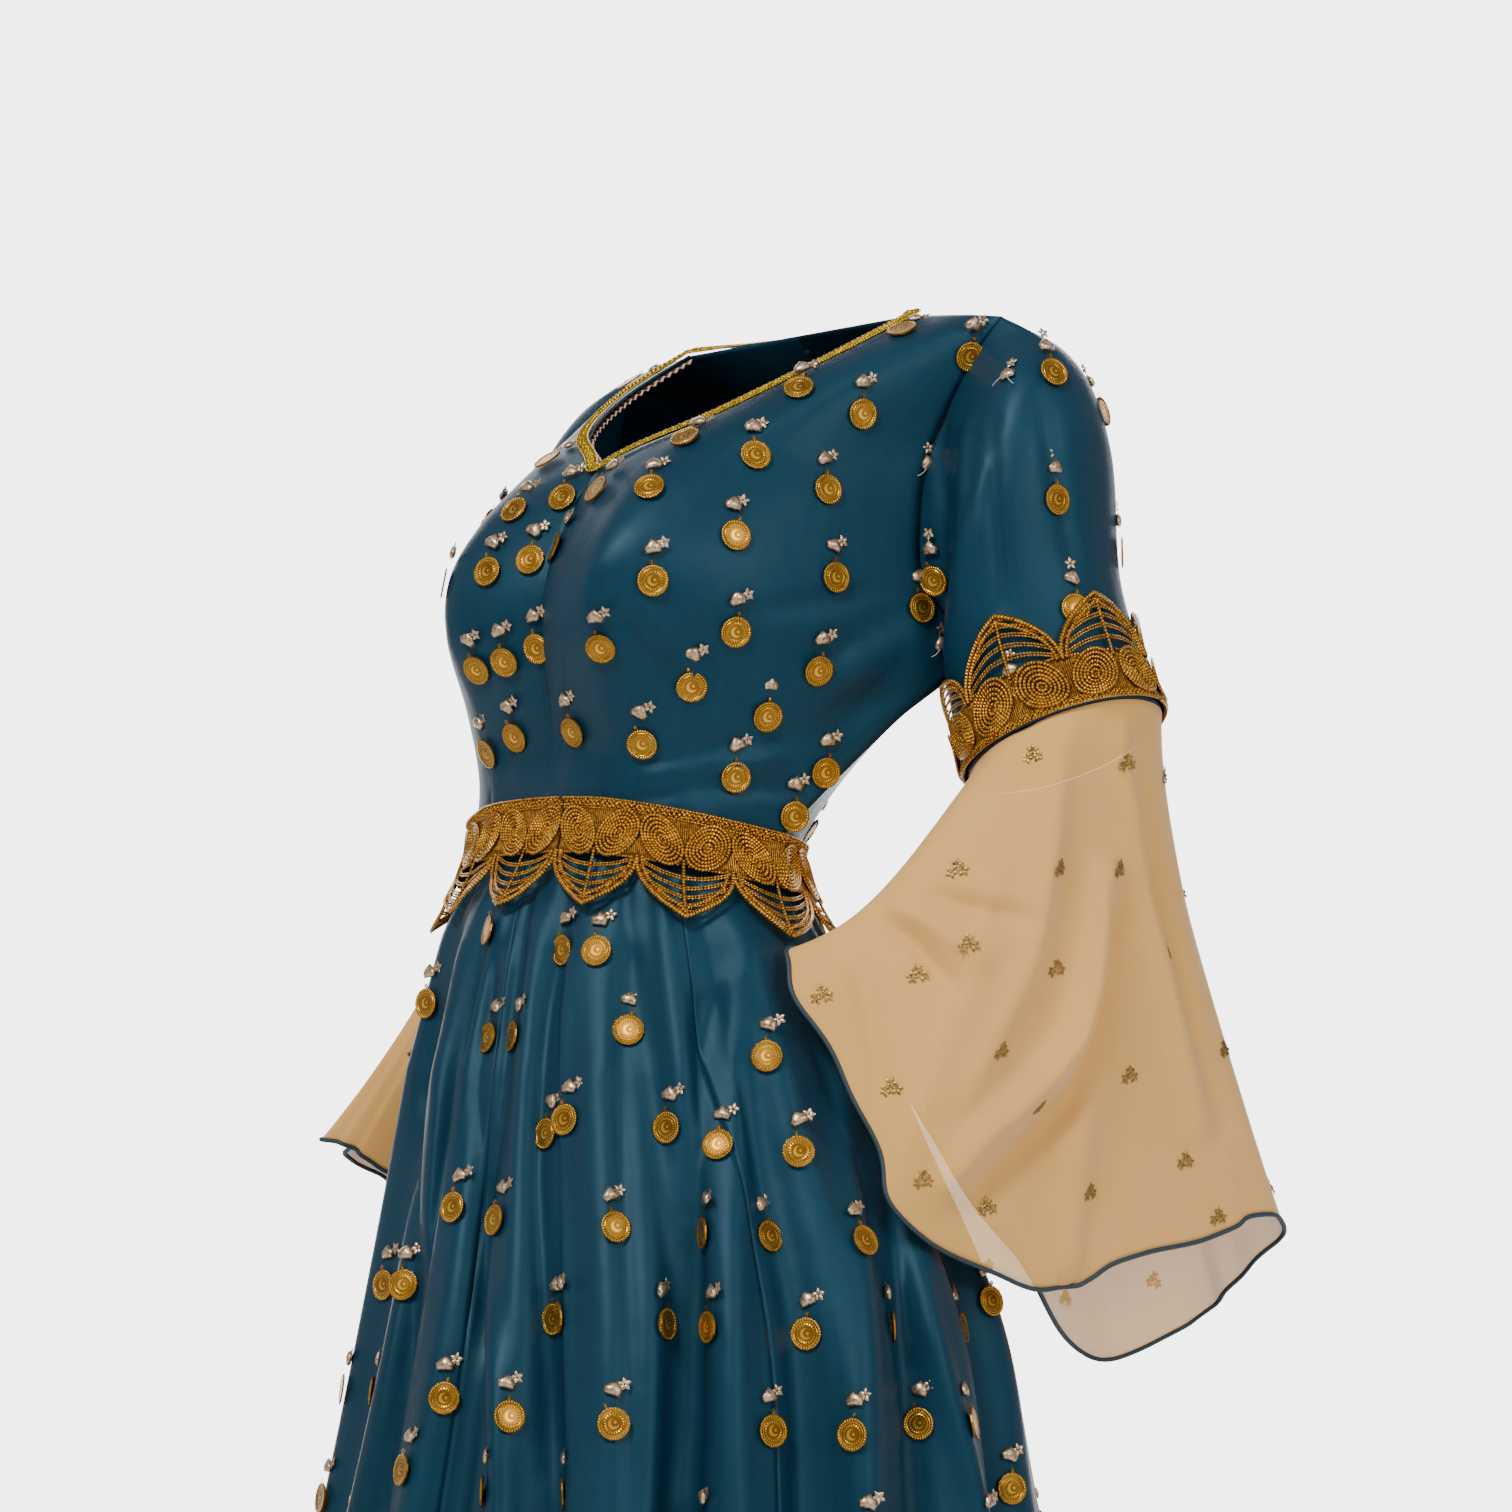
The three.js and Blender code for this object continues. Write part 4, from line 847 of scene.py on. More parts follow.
class DRESS_OT_bodice(bpy.types.Operator):
    """Front and back of the bodice, with darts and drag folds"""
    bl_idname = "dress.bodice"
    bl_label = "Bodice"

    def execute(self, context):
        left = front_left.copy()
        right = front_right[:, ::-1].copy()
        left[:, 0, 0] += NOTCH
        right[:, -1, 0] -= NOTCH
        front = np.concatenate([right, left], 1)
        normals = grid_normals(front)
        n = HALF_COLUMNS
        normals[VROW:, n - 5:n + 1] = normals[VROW:, n - 6:n - 5]
        normals[VROW:, n + 1:n + 7] = normals[VROW:, n + 7:n + 8]
        front = crease(front, normals, FRONT_CREASES, 1.6)
        backs = []
        high = BACK_NECK_ROW * ROW
        for grid, edge, inner in ((back_left[:, ::-1], slice(-6, None), slice(-7, -6)),
                                  (back_right, slice(0, 6), slice(6, 7))):
            back_normals = grid_normals(grid)
            back_normals[high:, edge] = back_normals[high:, inner]
            backs.append([crease(grid, back_normals, BACK_CREASES, 1.3), back_normals])
        back_normals = [b[1] for b in backs]
        backs = [b[0] for b in backs]
        backs[0][:, -1] = backs[1][:, 0] = (backs[0][:, -1] + backs[1][:, 0]) / 2
        seam = slice(0, SROW + 1)
        backs[0][seam, 0] = front[seam, -1] = (backs[0][seam, 0] + front[seam, -1]) / 2
        backs[1][seam, -1] = front[seam, 0] = (backs[1][seam, -1] + front[seam, 0]) / 2
        CLOTH["front"] = (front, normals, False)
        piece = cloth("bodice_front_cloth", front, finish("satin"), drop=lambda j, i: i == n and j >= VROW)
        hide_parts("bodice_front")
        ride(piece)
        for side, grid in zip(("left", "right"), backs):
            CLOTH[f"back_{side}"] = (grid, back_normals[0 if side == "left" else 1], False)
            back = cloth(f"bodice_back_{side}_cloth", grid, finish("satin"))
            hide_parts(f"bodice_back_{side}")
            ride(back)
        return {"FINISHED"}


class DRESS_OT_sleeves(bpy.types.Operator):
    """Two satin sleeves"""
    bl_idname = "dress.sleeves"
    bl_label = "Sleeves"

    def execute(self, context):
        for side, sign, rings, table in (("left", 1, LEFT_SLEEVE, LEFT_SLEEVE_CREASES),
                                         ("right", -1, RIGHT_SLEEVE, RIGHT_SLEEVE_CREASES)):
            grid = sleeve_grid(sign, rings, 60, 120)
            grid = crease(grid, grid_normals(grid, True), table, 1.4)
            remember(f"sleeve_{side}", grid, True)
            piece = cloth(f"sleeve_{side}_cloth", grid, finish("satin"), closed=True)
            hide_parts(f"sleeve_{side}")
            ride(piece)
        return {"FINISHED"}


class DRESS_OT_flounces(bpy.types.Operator):
    """Chiffon bell flounces with rolled hems"""
    bl_idname = "dress.flounces"
    bl_label = "Flounces"

    def execute(self, context):
        plans = (
            ("left", 1, LEFT_SLEEVE, LEFT_HEM, 24, 9, 0.94, -0.12, 2.5, LEFT_FLOUNCE_CREASES,
             (0.95, 0.46), 0.3),
            ("right", -1, RIGHT_SLEEVE, RIGHT_HEM, 0, 5, 1.5, 0.8, 1.5, RIGHT_FLOUNCE_CREASES,
             (0.6, 0.4), 0.17))
        for side, sign, rings, hem, sag, wave, middle, outside, ripple, table, flat, area in plans:
            grid = flounce_grid(sign, rings, hem, sag, wave, middle, outside, 72, 288, ripple)
            grid = crease(grid, grid_normals(grid, True), table, 2.0)
            remember(f"flounce_{side}", grid, True)
            piece = cloth(f"flounce_{side}_cloth", grid, finish("chiffon"), closed=True, thickness=0.5)
            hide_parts(f"flounce_{side}")
            bm = bmesh.new()
            tube(bm, grid[0], 1.9, 6, closed=True)
            roll = link(f"flounce_{side}_rolled_hem", bm, finish("hem"))
            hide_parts(f"flounce_edge_{side}")
            ride(piece, roll)
        return {"FINISHED"}


SKIRT_ROWS = 110
SKIRT_COLUMNS = 432
SKIRT_PANELS = 6


class DRESS_OT_skirt(bpy.types.Operator):
    """Six pleated widths of the skirt"""
    bl_idname = "dress.skirt"
    bl_label = "Skirt"

    def execute(self, context):
        degrees = np.arange(SKIRT_COLUMNS) / SKIRT_COLUMNS * 360 - 180
        top = waist_at(degrees)[:, 2] - 0.4
        share = np.linspace(1, 0, SKIRT_ROWS + 1) ** 1.25
        z = top[None] + (HEM_Z - top)[None] * share[:, None]
        spread = np.broadcast_to(degrees[None], z.shape)
        grid = skirt_cloth(spread, z)
        normals = grid_normals(grid, True)
        down = np.clip((top[None] - z) / 1000, 0, 1)
        near = np.exp(-((top[None] - z) / 70) ** 2)
        gather = np.sin(np.radians(spread) * 41 + 2 * np.sin(np.radians(spread) * 7)) * near * 2.2
        drift = np.sin(np.radians(spread) * 29 + 3 * down + 1.5 * np.sin(np.radians(spread) * 5 + 4 * down))
        grid = grid + normals * (gather + drift * (0.8 + 3.2 * down) * np.clip(down * 8, 0, 1))[..., None]
        grid = crease(grid, normals, SKIRT_CREASES, 1.6)
        remember("skirt", grid, True)
        per = SKIRT_COLUMNS // SKIRT_PANELS
        for k in range(SKIRT_PANELS):
            columns = [(k * per + i) % SKIRT_COLUMNS for i in range(per + 1)]
            piece = cloth(f"skirt_cloth_{k + 1}", grid[:, columns], finish("satin"))
            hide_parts(f"skirt_panel_{k + 1}")
            ride(piece)
        return {"FINISHED"}


# Lace
LACE_VALLEY = 40.0
LACE_TIP = 80.0
LEAF_SHAPE = 2.1
LACE_CLEAR = 4.2 + 0.7
WAIST_LACE_START = 0.5
SLEEVE_LACE_START = 0.33
WAIST_STEPS = 240
CHAIN_LINK = 7.5
waist_loop = even_loop(waist_line, WAIST_STEPS)
waist_length = float(np.linalg.norm(np.roll(waist_loop, -1, 0) - waist_loop, axis=1).sum())


def waist_place(s, h, lift):
    """Point on the waist lace, at a distance along and a height down."""
    p = along(waist_loop, s / waist_length * WAIST_STEPS, True)
    degrees = np.degrees(np.arctan2(p[..., 0] - WAIST_MIDDLE[0], -(p[..., 1] - WAIST_MIDDLE[1])))
    out = np.stack([p[..., 0] - WAIST_MIDDLE[0], (p[..., 1] - WAIST_MIDDLE[1]) * 1.8, np.zeros_like(s)], -1)
    out /= np.linalg.norm(out, axis=-1, keepdims=True)
    below = np.maximum(h - 4, 0)
    z = p[..., 2] + 4 - h * 0.96
    inner = p.copy()
    skirt = skirt_cloth(degrees, z)
    inner[..., :2] = np.where((below > 0)[..., None], skirt[..., :2], p[..., :2])
    inner[..., 2] = z
    far = LACE_CLEAR + below * 0.1 + np.maximum(4 - h, 0) * 0.7 + lift
    return inner + out * far[..., None], out


def sleeve_place(side, rings, s, h, lift):
    """Point on a sleeve's lace, whose points stand up."""
    ring = rings[-1]
    whole = math.pi * (ring[3] + ring[4])

    def surface(turn, up):
        guides = np.stack([ring_point(r, turn, side) for r in rings])
        n = len(rings) - 1
        step = np.linalg.norm(guides[n] - guides[n - 1], axis=-1)
        drop = np.maximum(step, (step + 75) / 2)
        t = n - up / drop
        i = np.clip(np.floor(t).astype(int), 0, n - 1)
        f = (t - i)[..., None]
        pick = np.arange(t.size).reshape(t.shape)
        flat = guides.reshape(len(rings), -1, 3)

        def at(k):
            return flat[np.clip(k, 0, n), pick]

        return (at(i - 1) * (((-f + 2) * f - 1) * f / 2) + at(i) * (((3 * f - 5) * f * f + 2) / 2)
                + at(i + 1) * (((-3 * f + 4) * f + 1) * f / 2) + at(i + 2) * (((f - 1) * f * f) / 2))

    turn = s / whole
    h = h + 2.0
    p = surface(turn, h)
    a = surface(turn + 0.01, h) - surface(turn - 0.01, h)
    b = surface(turn, h + 1) - surface(turn, h - 1)
    n = np.cross(a, b)
    n /= np.linalg.norm(n, axis=-1, keepdims=True)
    wrong = np.sum(n[..., :2] * (p[..., :2] - ring[:2]), -1) < 0
    n = np.where(wrong[..., None], -n, n)
    return p + n * (3.3 + 0.7 + lift)[..., None], n


def leaf_edge(h, width):
    down = np.clip(np.maximum(h - LACE_VALLEY, 0) / (LACE_TIP - LACE_VALLEY), 0, 1)
    return width / 2 * np.maximum(0, 1 - down ** LEAF_SHAPE)


# Lobes of coiled thread: half width as a share of a repeat, half height, middle and lean
LOBE_HALF = 0.2
LOBE_HEIGHT = 19.0
LOBE_MIDDLE = 25.0
LOBE_LEAN = 0.55


def lace_cords(width):
    """Cords of one repeat: each with its points along and down, radius and height over the net."""
    half = width / 2
    cords = []
    for middle in (width * 0.25, width * 0.75):
        for ring, share in enumerate((1.0, 0.84, 0.68, 0.52, 0.36, 0.18)):
            a = np.linspace(0, 2 * math.pi, 25 if ring < 3 else 17)
            x = np.cos(a) * width * LOBE_HALF * share
            y = np.sin(a) * LOBE_HEIGHT * share
            turn = LOBE_LEAN if middle < half else -LOBE_LEAN
            across = middle + x * math.cos(turn) + y * math.sin(turn)
            down = LOBE_MIDDLE + y * math.cos(turn) - x * math.sin(turn)
            cords.append((across, down, 1.45, 0.25 + 0.35 * (5 - ring)))
    h = np.linspace(LACE_VALLEY, LACE_TIP, 13)
    for inset, radius, lift in ((0.0, 1.9, 0.9), (3.6, 1.5, 0.6)):
        side = np.maximum(leaf_edge(h, width) - inset, 0)
        hh = h - inset * (h - LACE_VALLEY) / (LACE_TIP - LACE_VALLEY)
        cords.append((np.concatenate([half - side, (half + side)[-2::-1]]), np.concatenate([hh, hh[-2::-1]]),
                      radius, lift))
    cords.append((np.full(8, half), np.linspace(38, 77, 8), 1.3, 0.8))
    for rib, out in ((50, 41.5), (58, 46.5), (65, 53), (71, 60), (76, 67)):
        for sign in (-1, 1):
            reach = float(leaf_edge(np.array(out), width)) - 2.0
            t = np.linspace(0, 1, 7)
            for shift in (0.0, 1.7):
                down = rib + shift + (out - rib) * t + 2.0 * np.sin(math.pi * t)
                cords.append((half + sign * reach * t, down, 0.75, 0.3))
    for sign in (-1, 1):
        window = np.array([half + sign * 3, half + sign * half * 0.94])
        cords.append((window, np.array([41.5, 41.5]), 1.1, 0.4))
    return cords


def lace(name, node_name, place, start, repeats, width, squeeze):
    """Half a round of lace: chain border, lobes of coiled thread, and leaves with ribs and veins."""
    bm = bmesh.new()

    def put(s, h, lift):
        s = np.asarray(s, float)
        h = np.asarray(h, float)
        return place(start + 0.2 + s * squeeze, h, np.zeros_like(h) + lift)

    for k in range(repeats):
        for s, h, radius, lift in lace_cords(width):
            line, normals = put(s + k * width, h, lift)
            tube(bm, line, radius, 4, flat=0.75, normals=normals)
    total = repeats * width
    s = np.linspace(0.6, total - 0.6, int(total / 1.5))
    for phase in (0, math.pi):
        turns = s * 2 * math.pi / CHAIN_LINK + phase
        line, normals = put(s, 4.2 + 2.5 * np.sin(turns), 0.6 + 0.5 * np.cos(turns))
        tube(bm, line, 1.25, 4, flat=0.8, normals=normals)
    for h in (0.6, 8.0):
        line, normals = put(s[::3], np.full(len(s[::3]), h), 0.3)
        tube(bm, line, 0.9, 4, normals=normals)
    cords = link(name, bm, finish("lace"))
    bm = bmesh.new()
    grid_s, grid_h = np.meshgrid(np.linspace(0.6, total - 0.6, repeats * 16 + 1), np.linspace(1, 41, 9))
    grid, normals = put(grid_s.ravel(), grid_h.ravel(), -0.5)
    add_grid(bm, grid.reshape(9, -1, 3), np.stack([grid_s, grid_h], -1) * MM)
    field = link(name + "_field", bm, finish("net"))
    solid = field.modifiers.new("thickness", "SOLIDIFY")
    solid.thickness = 0.6 * MM
    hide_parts(node_name)
    ride(cords, field)


class DRESS_OT_lace(bpy.types.Operator):
    """Gold leaf lace at the waist and on the sleeves"""
    bl_idname = "dress.lace"
    bl_label = "Lace"

    def execute(self, context):
        width = waist_length / 12
        for k in range(2):
            lace(f"waist_lace_cords_{k + 1}", f"waist_lace_{k + 1}", waist_place,
                 k * waist_length / 2 + width * WAIST_LACE_START, 6, width,
                 1 - 0.4 / (waist_length / 2))
        for side, sign, rings in (("left", 1, LEFT_SLEEVE), ("right", -1, RIGHT_SLEEVE)):
            whole = math.pi * (rings[-1][3] + rings[-1][4])
            for k in range(2):
                lace(f"sleeve_lace_cords_{side}_{k + 1}", f"sleeve_lace_{side}_{k + 1}",
                     lambda s, h, lift, sign=sign, rings=rings: sleeve_place(sign, rings, s, h, lift),
                     k * whole / 2 + whole / 6 * SLEEVE_LACE_START, 3, whole / 6, 1 - 0.8 / whole)
        return {"FINISHED"}


def neck_path():
    """Neck edge with the cloth's normals: from the V up the left front, round the back and down the right."""
    front, normals, _ = CLOTH["front"]
    n = HALF_COLUMNS
    left, left_n, _ = CLOTH["back_left"]
    right, right_n, _ = CLOTH["back_right"]
    low = int(np.argmax(left[:, -1, 0] - right[:, 0, 0] > 6))
    down = slice(BODICE_ROWS - 1, low - 1, -1)
    up = slice(low + 1, BODICE_ROWS)
    back = slice(None, VROW - 1, -1)
    points = np.vstack([front[VROW:, n + 1], left[down, -1], right[up, 0], front[back, n]])
    norms = np.vstack([normals[VROW:, n + 1], left_n[down, -1], right_n[up, 0], normals[back, n]])
    ring = np.vstack([points, points[:1]])
    s = np.concatenate([[0], np.cumsum(np.linalg.norm(np.diff(ring, axis=0), axis=1))])
    return ring, np.vstack([norms, norms[:1]]), s


# Braid on the neck edge: length of a zigzag, its middle and reach from the edge
ZIGZAG = 5.2
BRAID_MIDDLE = 4.6
BRAID_REACH = 3.3


class DRESS_OT_neck(bpy.types.Operator):
    """Zigzag braid on the neck edge and the puckered facing inside the V"""
    bl_idname = "dress.neck"
    bl_label = "Neck braid and facing"

    def execute(self, context):
        ring, norms, s = neck_path()
        count = int(s[-1] / 1.3)
        at = np.arange(count) / count * s[-1]
        line = np.stack([np.interp(at, s, ring[:, k]) for k in range(3)], 1)
        normal = np.stack([np.interp(at, s, norms[:, k]) for k in range(3)], 1)
        normal /= np.linalg.norm(normal, axis=1, keepdims=True)
        tangent = np.roll(line, -3, 0) - np.roll(line, 3, 0)
        across = np.cross(tangent, normal)
        across /= np.linalg.norm(across, axis=1, keepdims=True)
        bm = bmesh.new()
        for shift, height in ((0.0, 3.6), (2.6, 3.3)):
            zag = np.abs(((at + shift) / ZIGZAG) % 1 - 0.5) * 4 - 1
            thread = line + across * (BRAID_MIDDLE + BRAID_REACH * zag)[:, None] + normal * height
            tube(bm, thread, 1.15, 4, True, normals=normal)
        for shift in (0.6, 8.8):
            tube(bm, line + across * shift + normal * 2.8, 0.9, 4, True, normals=normal)
        strip = np.stack([line + across * 0.3 + normal * 2.2, line + across * 4.6 + normal * 2.7,
                          line + across * 9 + normal * 2.6])
        add_grid(bm, strip, None, True)
        braid = link("neck_zigzag_braid", bm, finish("braid"))
        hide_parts("neck_braid")
        front, normals, _ = CLOTH["front"]
        n = HALF_COLUMNS
        edge = np.vstack([front[:VROW - 1:-1, n], front[VROW:, n + 1]])
        edge_n = np.vstack([normals[:VROW - 1:-1, n], normals[VROW:, n + 1]])
        way = np.vstack([front[:VROW - 1:-1, n - 8] - front[:VROW - 1:-1, n],
                         front[VROW:, n + 9] - front[VROW:, n + 1]])
        way /= np.linalg.norm(way, axis=1, keepdims=True)
        length = np.concatenate([[0], np.cumsum(np.linalg.norm(np.diff(edge, axis=0), axis=1))])
        count = 240
        at = np.linspace(2, length[-1] - 2, count)
        even = [np.stack([np.interp(at, length, a[:, k]) for k in range(3)], 1) for a in (edge, edge_n, way)]
        pucker = context.scene.dress_sizes.pucker / MM
        strip = []
        first = np.where(at < length[-1] / 2, -4.0, 2.0)
        for share in np.linspace(0, 1, 10):
            q = first + (24 - first) * share
            ripple = np.sin(at * 2 * math.pi / 9 + 0.5 * np.sin(at / 17))
            wave = pucker * ripple * (0.5 + 0.5 * np.cos((q - 8) / 12))
            strip.append(even[0] + even[2] * q[:, None] - even[1] * (4.6 - wave)[:, None])
        facing = cloth("neck_facing_cloth", np.array(strip), finish("facing"), thickness=0.5)
        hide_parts("neck_facing")
        ride(braid, facing)
        return {"FINISHED"}


# Coins, buds and sprigs
# Distances from the cloth and from a coin's middle in millimetres
COIN_LIFT = 2.6
THREAD_LIFT = 0.9
BUD_ABOVE = 23.5
FLOWER_ABOVE = 11
FLOWER_BESIDE = 7.5
FLOWER_RISE = 3.5
SPRIG_SPACING = 75.0


def coin_shape(radius):
    """Coin with a raised rim and a small bail, and its place from the middle as the map."""
    bm = bmesh.new()
    sides = 14
    layer = bm.loops.layers.uv.verify()
    rings = ((1.0, 0.0), (1.0, 1.1), (0.92, 1.3), (0.8, 0.95), (0.02, 1.0))
    made = bmesh.ops.create_grid(bm, x_segments=sides, y_segments=len(rings) - 1, size=1.0)["verts"]
    where = {v: (round((v.co.y + 1) / 2 * (len(rings) - 1)), round((v.co.x + 1) / 2 * sides)) for v in made}
    for v, (j, i) in where.items():
        a = i / sides * 2 * math.pi
        share, height = rings[j]
        v.co = Vector((math.cos(a) * share * radius, math.sin(a) * share * radius, height * MM))
    for f in bm.faces:
        for loop in f.loops:
            loop[layer].uv = (loop.vert.co.x / radius, loop.vert.co.y / radius)
    bmesh.ops.remove_doubles(bm, verts=bm.verts[:], dist=1e-6)
    bail = bmesh.ops.create_grid(bm, x_segments=4, y_segments=1, size=1.0)["verts"]
    for v in bail:
        a = (v.co.x + 1) * math.pi
        side = 1.0 if v.co.y > 0 else -1.0
        v.co = Vector((side * 0.8 * MM, radius + (1.6 + 1.8 * math.cos(a)) * MM,
                       (1.0 + 1.2 * math.sin(a)) * MM))
    return bm


def bud_shape():
    """Low mound of crossing threads."""
    bm = bmesh.new()
    made = bmesh.ops.create_uvsphere(bm, u_segments=8, v_segments=4, radius=1.0)["verts"]
    for v in made:
        knob = 1 + 0.22 * math.sin(5 * math.atan2(v.co.y, v.co.x))
        v.co = Vector((v.co.x * 6.8 * knob * MM, v.co.y * 5.2 * knob * MM, (v.co.z * 2.4 + 1.2) * MM))
    return bm


def flower_shape():
    """Small flat flower of five petals."""
    bm = bmesh.new()
    for k in range(5):
        a = k / 5 * 2 * math.pi + 0.3
        made = bmesh.ops.create_grid(bm, x_segments=2, y_segments=2, size=1.0)["verts"]
        for v in made:
            x, y = v.co.x, v.co.y
            reach = (y + 1) / 2
            wide = 1.5 * math.sin(math.pi * min(max(0.15 + 0.8 * reach, 0), 1))
            px, py = 0.6 + 4.2 * reach, x * wide
            mound = 0.5 + 1.0 * (1 - abs(x)) * math.sin(math.pi * reach)
            v.co = Vector(((px * math.cos(a) - py * math.sin(a)) * MM,
                           (px * math.sin(a) + py * math.cos(a)) * MM, mound * MM))
    return bm


def spots(cloth_name, spacing, shown, reach=64.0, offset=20.0, clear=14.0):
    """Indices of motif places: those the photo shows, then a half-drop lattice away from them."""
    grid, normals, closed = CLOTH[cloth_name]
    found = []
    points = [] if cloth_name.startswith("flounce") else PLACED
    for p in shown:
        d = np.linalg.norm(grid - np.array(p, float), axis=-1)
        j, i = np.unravel_index(np.argmin(d), d.shape)
        if d[j, i] < 40:
            found.append((j, i))
            points.append(grid[j, i])
    up = np.concatenate([[0], np.cumsum(np.linalg.norm(np.diff(grid, axis=0), axis=-1).mean(1))])
    lane = 0
    level = offset
    while level < up[-1] - clear:
        j = int(np.argmin(np.abs(up - level)))
        row = grid[j]
        ring = np.vstack([row, row[:1]]) if closed else row
        s = np.concatenate([[0], np.cumsum(np.linalg.norm(np.diff(ring, axis=0), axis=1))])
        count = max(int(round(s[-1] / spacing)), 1)
        for m in range(count):
            goal = (m + (0.25 if lane % 2 else 0.75)) / count * s[-1]
            if not closed and (goal < 14 or goal > s[-1] - 14):
                continue
            i = int(np.argmin(np.abs(s - goal))) % grid.shape[1]
            p = grid[j, i]
            if points and min(np.linalg.norm(p - q) for q in points) < reach:
                continue
            found.append((j, i))
            points.append(p)
        lane += 1
        level += spacing
    return found


def local_frame(cloth_name, j, i):
    """Point, right, up and outward directions of a cloth at one grid place."""
    grid, normals, closed = CLOTH[cloth_name]
    n = normals[j, i]
    up = np.array([0.0, 0.0, 1.0]) - n * n[2]
    length = np.linalg.norm(up)
    up = up / length if length > 1e-3 else np.array([0.0, 1.0, 0.0])
    return grid[j, i], np.cross(up, n), up, n


def scatter(name, parts, material, smooth=False):
    """One piece from many placed copies; parts holds template meshes with their matrices."""
    bm = bmesh.new()
    for shape, rows in parts:
        before = len(bm.verts)
        bm.from_mesh(shape)
        bm.verts.ensure_lookup_table()
        for v in bm.verts[before:]:
            x, y, z = v.co
            v.co = Vector(rows[0] + rows[1] * x + rows[2] * y + rows[3] * z)
    return link(name, bm, material, smooth)


def template(bm):
    mesh = bpy.data.meshes.new("template")
    bm.to_mesh(mesh)
    bm.free()
    return mesh


def placed(point, right, up, out, turn=0.0, tilt=0.0):
    """Origin and axes in metres of a copy, turned in its plane and tilted forwards at its lower edge."""
    c, s = math.cos(turn), math.sin(turn)
    x = right * c + up * s
    y = up * c - right * s
    ct, st = math.cos(tilt), math.sin(tilt)
    return np.array(point) * MM, x, y * ct - out * st, out * ct + y * st


class DRESS_OT_motifs(bpy.types.Operator):
    """Coin pendants with their buds and flowers, and the chiffon's sprigs"""
    bl_idname = "dress.motifs"
    bl_label = "Coins and motifs"

    def execute(self, context):
        sizes = context.scene.dress_sizes
        radius = sizes.coin / 2
        spacing = sizes.spacing / MM
        coin = template(coin_shape(radius))
        bud = template(bud_shape())
        flower = template(flower_shape())
        chance = np.random.default_rng(11)
        groups = (
            ("bodice", (("front", seen("bodice coins")), ("back_left", ()), ("back_right", ()))),
            ("skirt", (("skirt", seen("skirt coins")),)),
            ("sleeves", (("sleeve_left", seen("sleeve coins")), ("sleeve_right", ()))),
        )
        for group, cloths in groups:
            coins, threads = [], []
            for name, shown in cloths:
                places = spots(name, spacing, shown, clear=100.0 if name == "skirt" else 14.0)
                if name == "front":
                    grid = CLOTH[name][0]
                    places = [(j, i) for j, i in places
                              if not (abs(i - HALF_COLUMNS - 0.5) < 5 and j > VROW - 4)]
                for j, i in places:
                    point, right, up, out = local_frame(name, j, i)
                    turn = chance.normal(0, 0.12)
                    coins.append((coin, placed(point + out * COIN_LIFT, right, up, out, turn, -0.05)))
                    high = point + up * BUD_ABOVE + out * THREAD_LIFT
                    above = up * FLOWER_ABOVE
                    beside = right * FLOWER_BESIDE + up * FLOWER_RISE
                    step = above if group == "sleeves" else beside
                    threads.append((bud, placed(high, right, up, out, chance.normal(0, 0.3))))
                    threads.append((flower, placed(high + step, right, up, out, chance.normal(0, 0.5))))
            if group == "sleeves":
                loose = bmesh.new()
                for spot in BARE_BUDS:
                    name = "sleeve_left" if spot[0] > 200 else "front"
                    j, i = spots(name, spacing, (spot,))[0]
                    point, right, up, out = local_frame(name, j, i)
                    threads.append((bud, placed(point + out * THREAD_LIFT, right, up, out, 0.4)))
                    tip = point + up * FLOWER_ABOVE + out * THREAD_LIFT
                    threads.append((flower, placed(tip, right, up, out, 0.2)))
                    t = np.linspace(0, 1, 9)[:, None]
                    for way in (-1, 1):
                        hang = right * way * 9 * t - up * (16 * t - 6 * t * t)
                        line = point + out * (2 + 2 * np.sin(math.pi * t)) + hang
                        tube(loose, line, 0.35, 4)
                ends = link("bare_bud_threads", loose, finish("grey"))
                ride(ends)
            metal = scatter(f"coins_{group}", coins, finish("coin"))
            work = scatter(f"buds_{group}", threads, finish("bud"), True)
            ride(metal, work)
        sprigs = []
        for side, shown in (("left", seen("sprigs")), ("right", ())):
            for j, i in spots(f"flounce_{side}", SPRIG_SPACING, shown, 60.0, 30.0):
                point, right, up, out = local_frame(f"flounce_{side}", j, i)
                turn = chance.normal(0, 0.3)
                for x, y in ((-4, 0), (4, 1.5), (0, 5.5)):
                    sprigs.append((flower, placed(point + right * x + up * y, right, up, out, turn + x)))
        work = scatter("flounce_sprigs", sprigs, finish("sprig"), True)
        ride(work)
        return {"FINISHED"}


FLOOR_HALF = 4.0
FLOOR_Z = -1.45
PAPER_HALF = 4.5
PAPER_AWAY = 7.0
PAPER_GLOW = 4.2
SKY_STRENGTH = 0.5
LIGHTS_AIM = (-0.02, -0.05, -0.45)
# Name, place, size in metres and power in watts
LIGHTS = (
    ("key", (1.2, -3.2, 2.2), 1.0, 170),
    ("side", (3.4, -0.6, 0.6), 1.4, 46),
    ("left fill", (-3.0, -2.2, 0.6), 2.2, 6),
    ("rim", (-1.5, 3.0, 1.8), 1.6, 40),
)


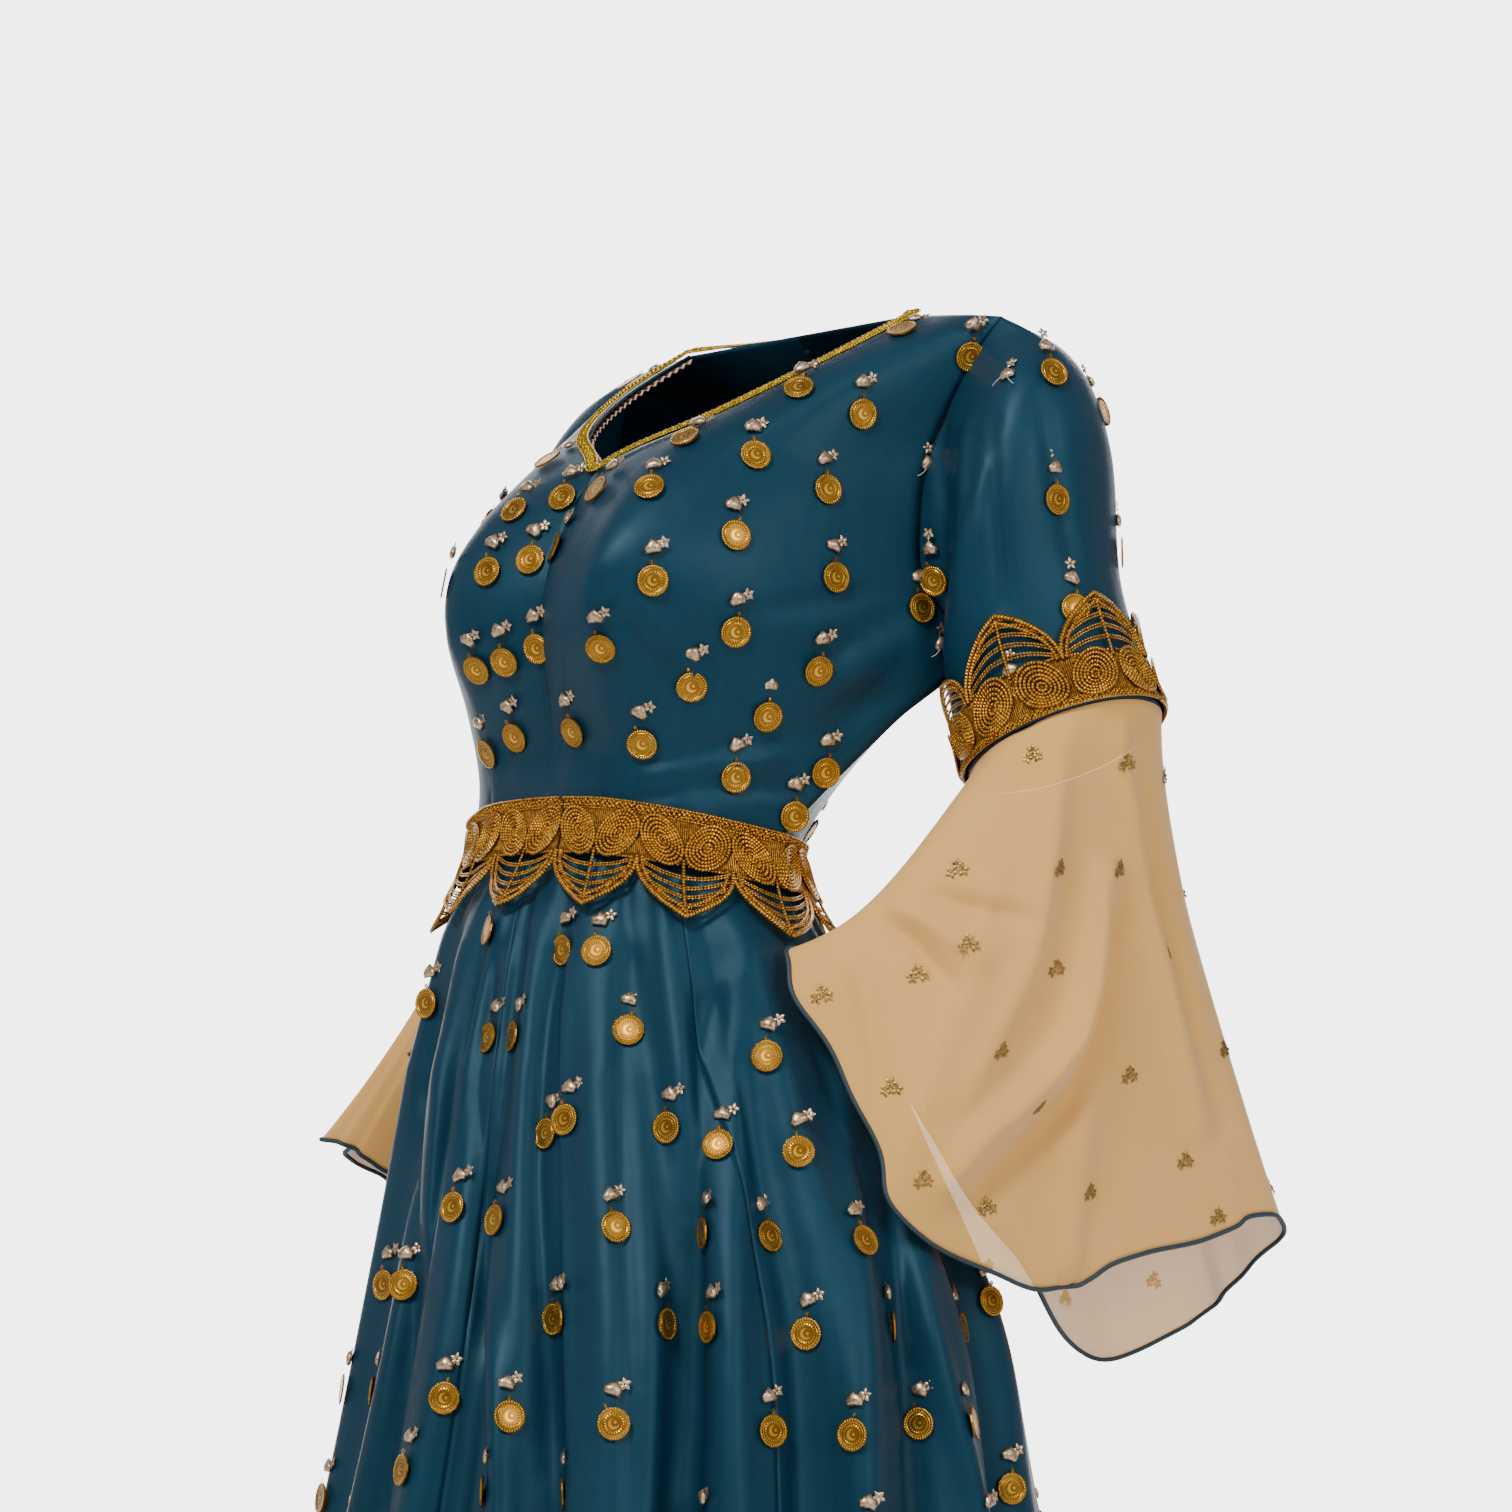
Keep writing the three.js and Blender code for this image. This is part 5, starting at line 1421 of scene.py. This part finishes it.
class DRESS_OT_stage(bpy.types.Operator):
    """Pale floor, soft light and the camera"""
    bl_idname = "dress.stage"
    bl_label = "Stage"

    def execute(self, context):
        scene = context.scene
        bm = bmesh.new()
        bmesh.ops.create_grid(bm, x_segments=1, y_segments=1, size=FLOOR_HALF)
        for v in bm.verts:
            v.co.z = FLOOR_Z
        floor = link("pale_floor", bm, plain_material("pale floor", colour((250, 250, 250)), 0.95), False)
        view = Vector([round(v, 4) for v in SIGHT_LINE])
        bm = bmesh.new()
        bmesh.ops.create_grid(bm, x_segments=1, y_segments=1, size=PAPER_HALF)
        turn = view.to_track_quat("-Z", "Y").to_matrix()
        for v in bm.verts:
            v.co = turn @ v.co + view * PAPER_AWAY
        paper, tree, shader = new_material("pale paper")
        feed(tree, shader, "Base Color", colour((236, 236, 236)))
        feed(tree, shader, "Roughness", 1.0)
        feed(tree, shader, "Emission Color", (1.0, 1.0, 1.0, 1.0))
        feed(tree, shader, "Emission Strength", PAPER_GLOW)
        backdrop = link("pale_backdrop", bm, paper, False)
        world = bpy.data.worlds.new("pale")
        scene.world = world
        world.use_nodes = True
        world.node_tree.nodes["Background"].inputs[0].default_value = colour((238, 238, 238))
        world.node_tree.nodes["Background"].inputs[1].default_value = SKY_STRENGTH
        aim = Vector(LIGHTS_AIM)
        for name, place, size, power in LIGHTS:
            data = bpy.data.lights.new(name, "AREA")
            data.size = size
            data.energy = power
            lamp = bpy.data.objects.new(name, data)
            lamp.location = place
            lamp.rotation_euler = (aim - Vector(place)).to_track_quat("-Z", "Y").to_euler()
            scene.collection.objects.link(lamp)
        data = bpy.data.cameras.new("camera")
        data.lens = LENS
        data.sensor_width = SENSOR
        camera = bpy.data.objects.new("camera", data)
        camera.location = [round(v, 4) for v in SIGHT_PLACE]
        camera.rotation_euler = view.to_track_quat("-Z", "Y").to_euler()
        scene.collection.objects.link(camera)
        scene.camera = camera
        return {"FINISHED"}


class DRESS_PT_panel(bpy.types.Panel):
    """Buttons and settings of the gown"""
    bl_idname = "DRESS_PT_panel"
    bl_label = "Dress"
    bl_space_type = "VIEW_3D"
    bl_region_type = "UI"
    bl_category = "Dress"

    def draw(self, context):
        layout = self.layout
        for settings in (context.scene.dress_colours, context.scene.dress_sizes):
            for key in settings.__annotations__:
                layout.prop(settings, key)
        for made in OPERATORS:
            layout.operator(made.bl_idname)


OPERATORS = (DRESS_OT_bodice, DRESS_OT_sleeves, DRESS_OT_flounces, DRESS_OT_skirt, DRESS_OT_lace,
             DRESS_OT_neck, DRESS_OT_motifs, DRESS_OT_stage)
CLASSES = (DressColours, DressSizes) + OPERATORS + (DRESS_PT_panel,)


def register():
    for made in CLASSES:
        bpy.utils.register_class(made)
    bpy.types.Scene.dress_colours = bpy.props.PointerProperty(type=DressColours)
    bpy.types.Scene.dress_sizes = bpy.props.PointerProperty(type=DressSizes)


def unregister():
    del bpy.types.Scene.dress_sizes
    del bpy.types.Scene.dress_colours
    for made in reversed(CLASSES):
        bpy.utils.unregister_class(made)


def main():
    register()
    bpy.ops.dress.bodice()
    bpy.ops.dress.sleeves()
    bpy.ops.dress.flounces()
    bpy.ops.dress.skirt()
    bpy.ops.dress.lace()
    bpy.ops.dress.neck()
    bpy.ops.dress.motifs()
    bpy.ops.dress.stage()


if __name__ == "__main__":
    main()
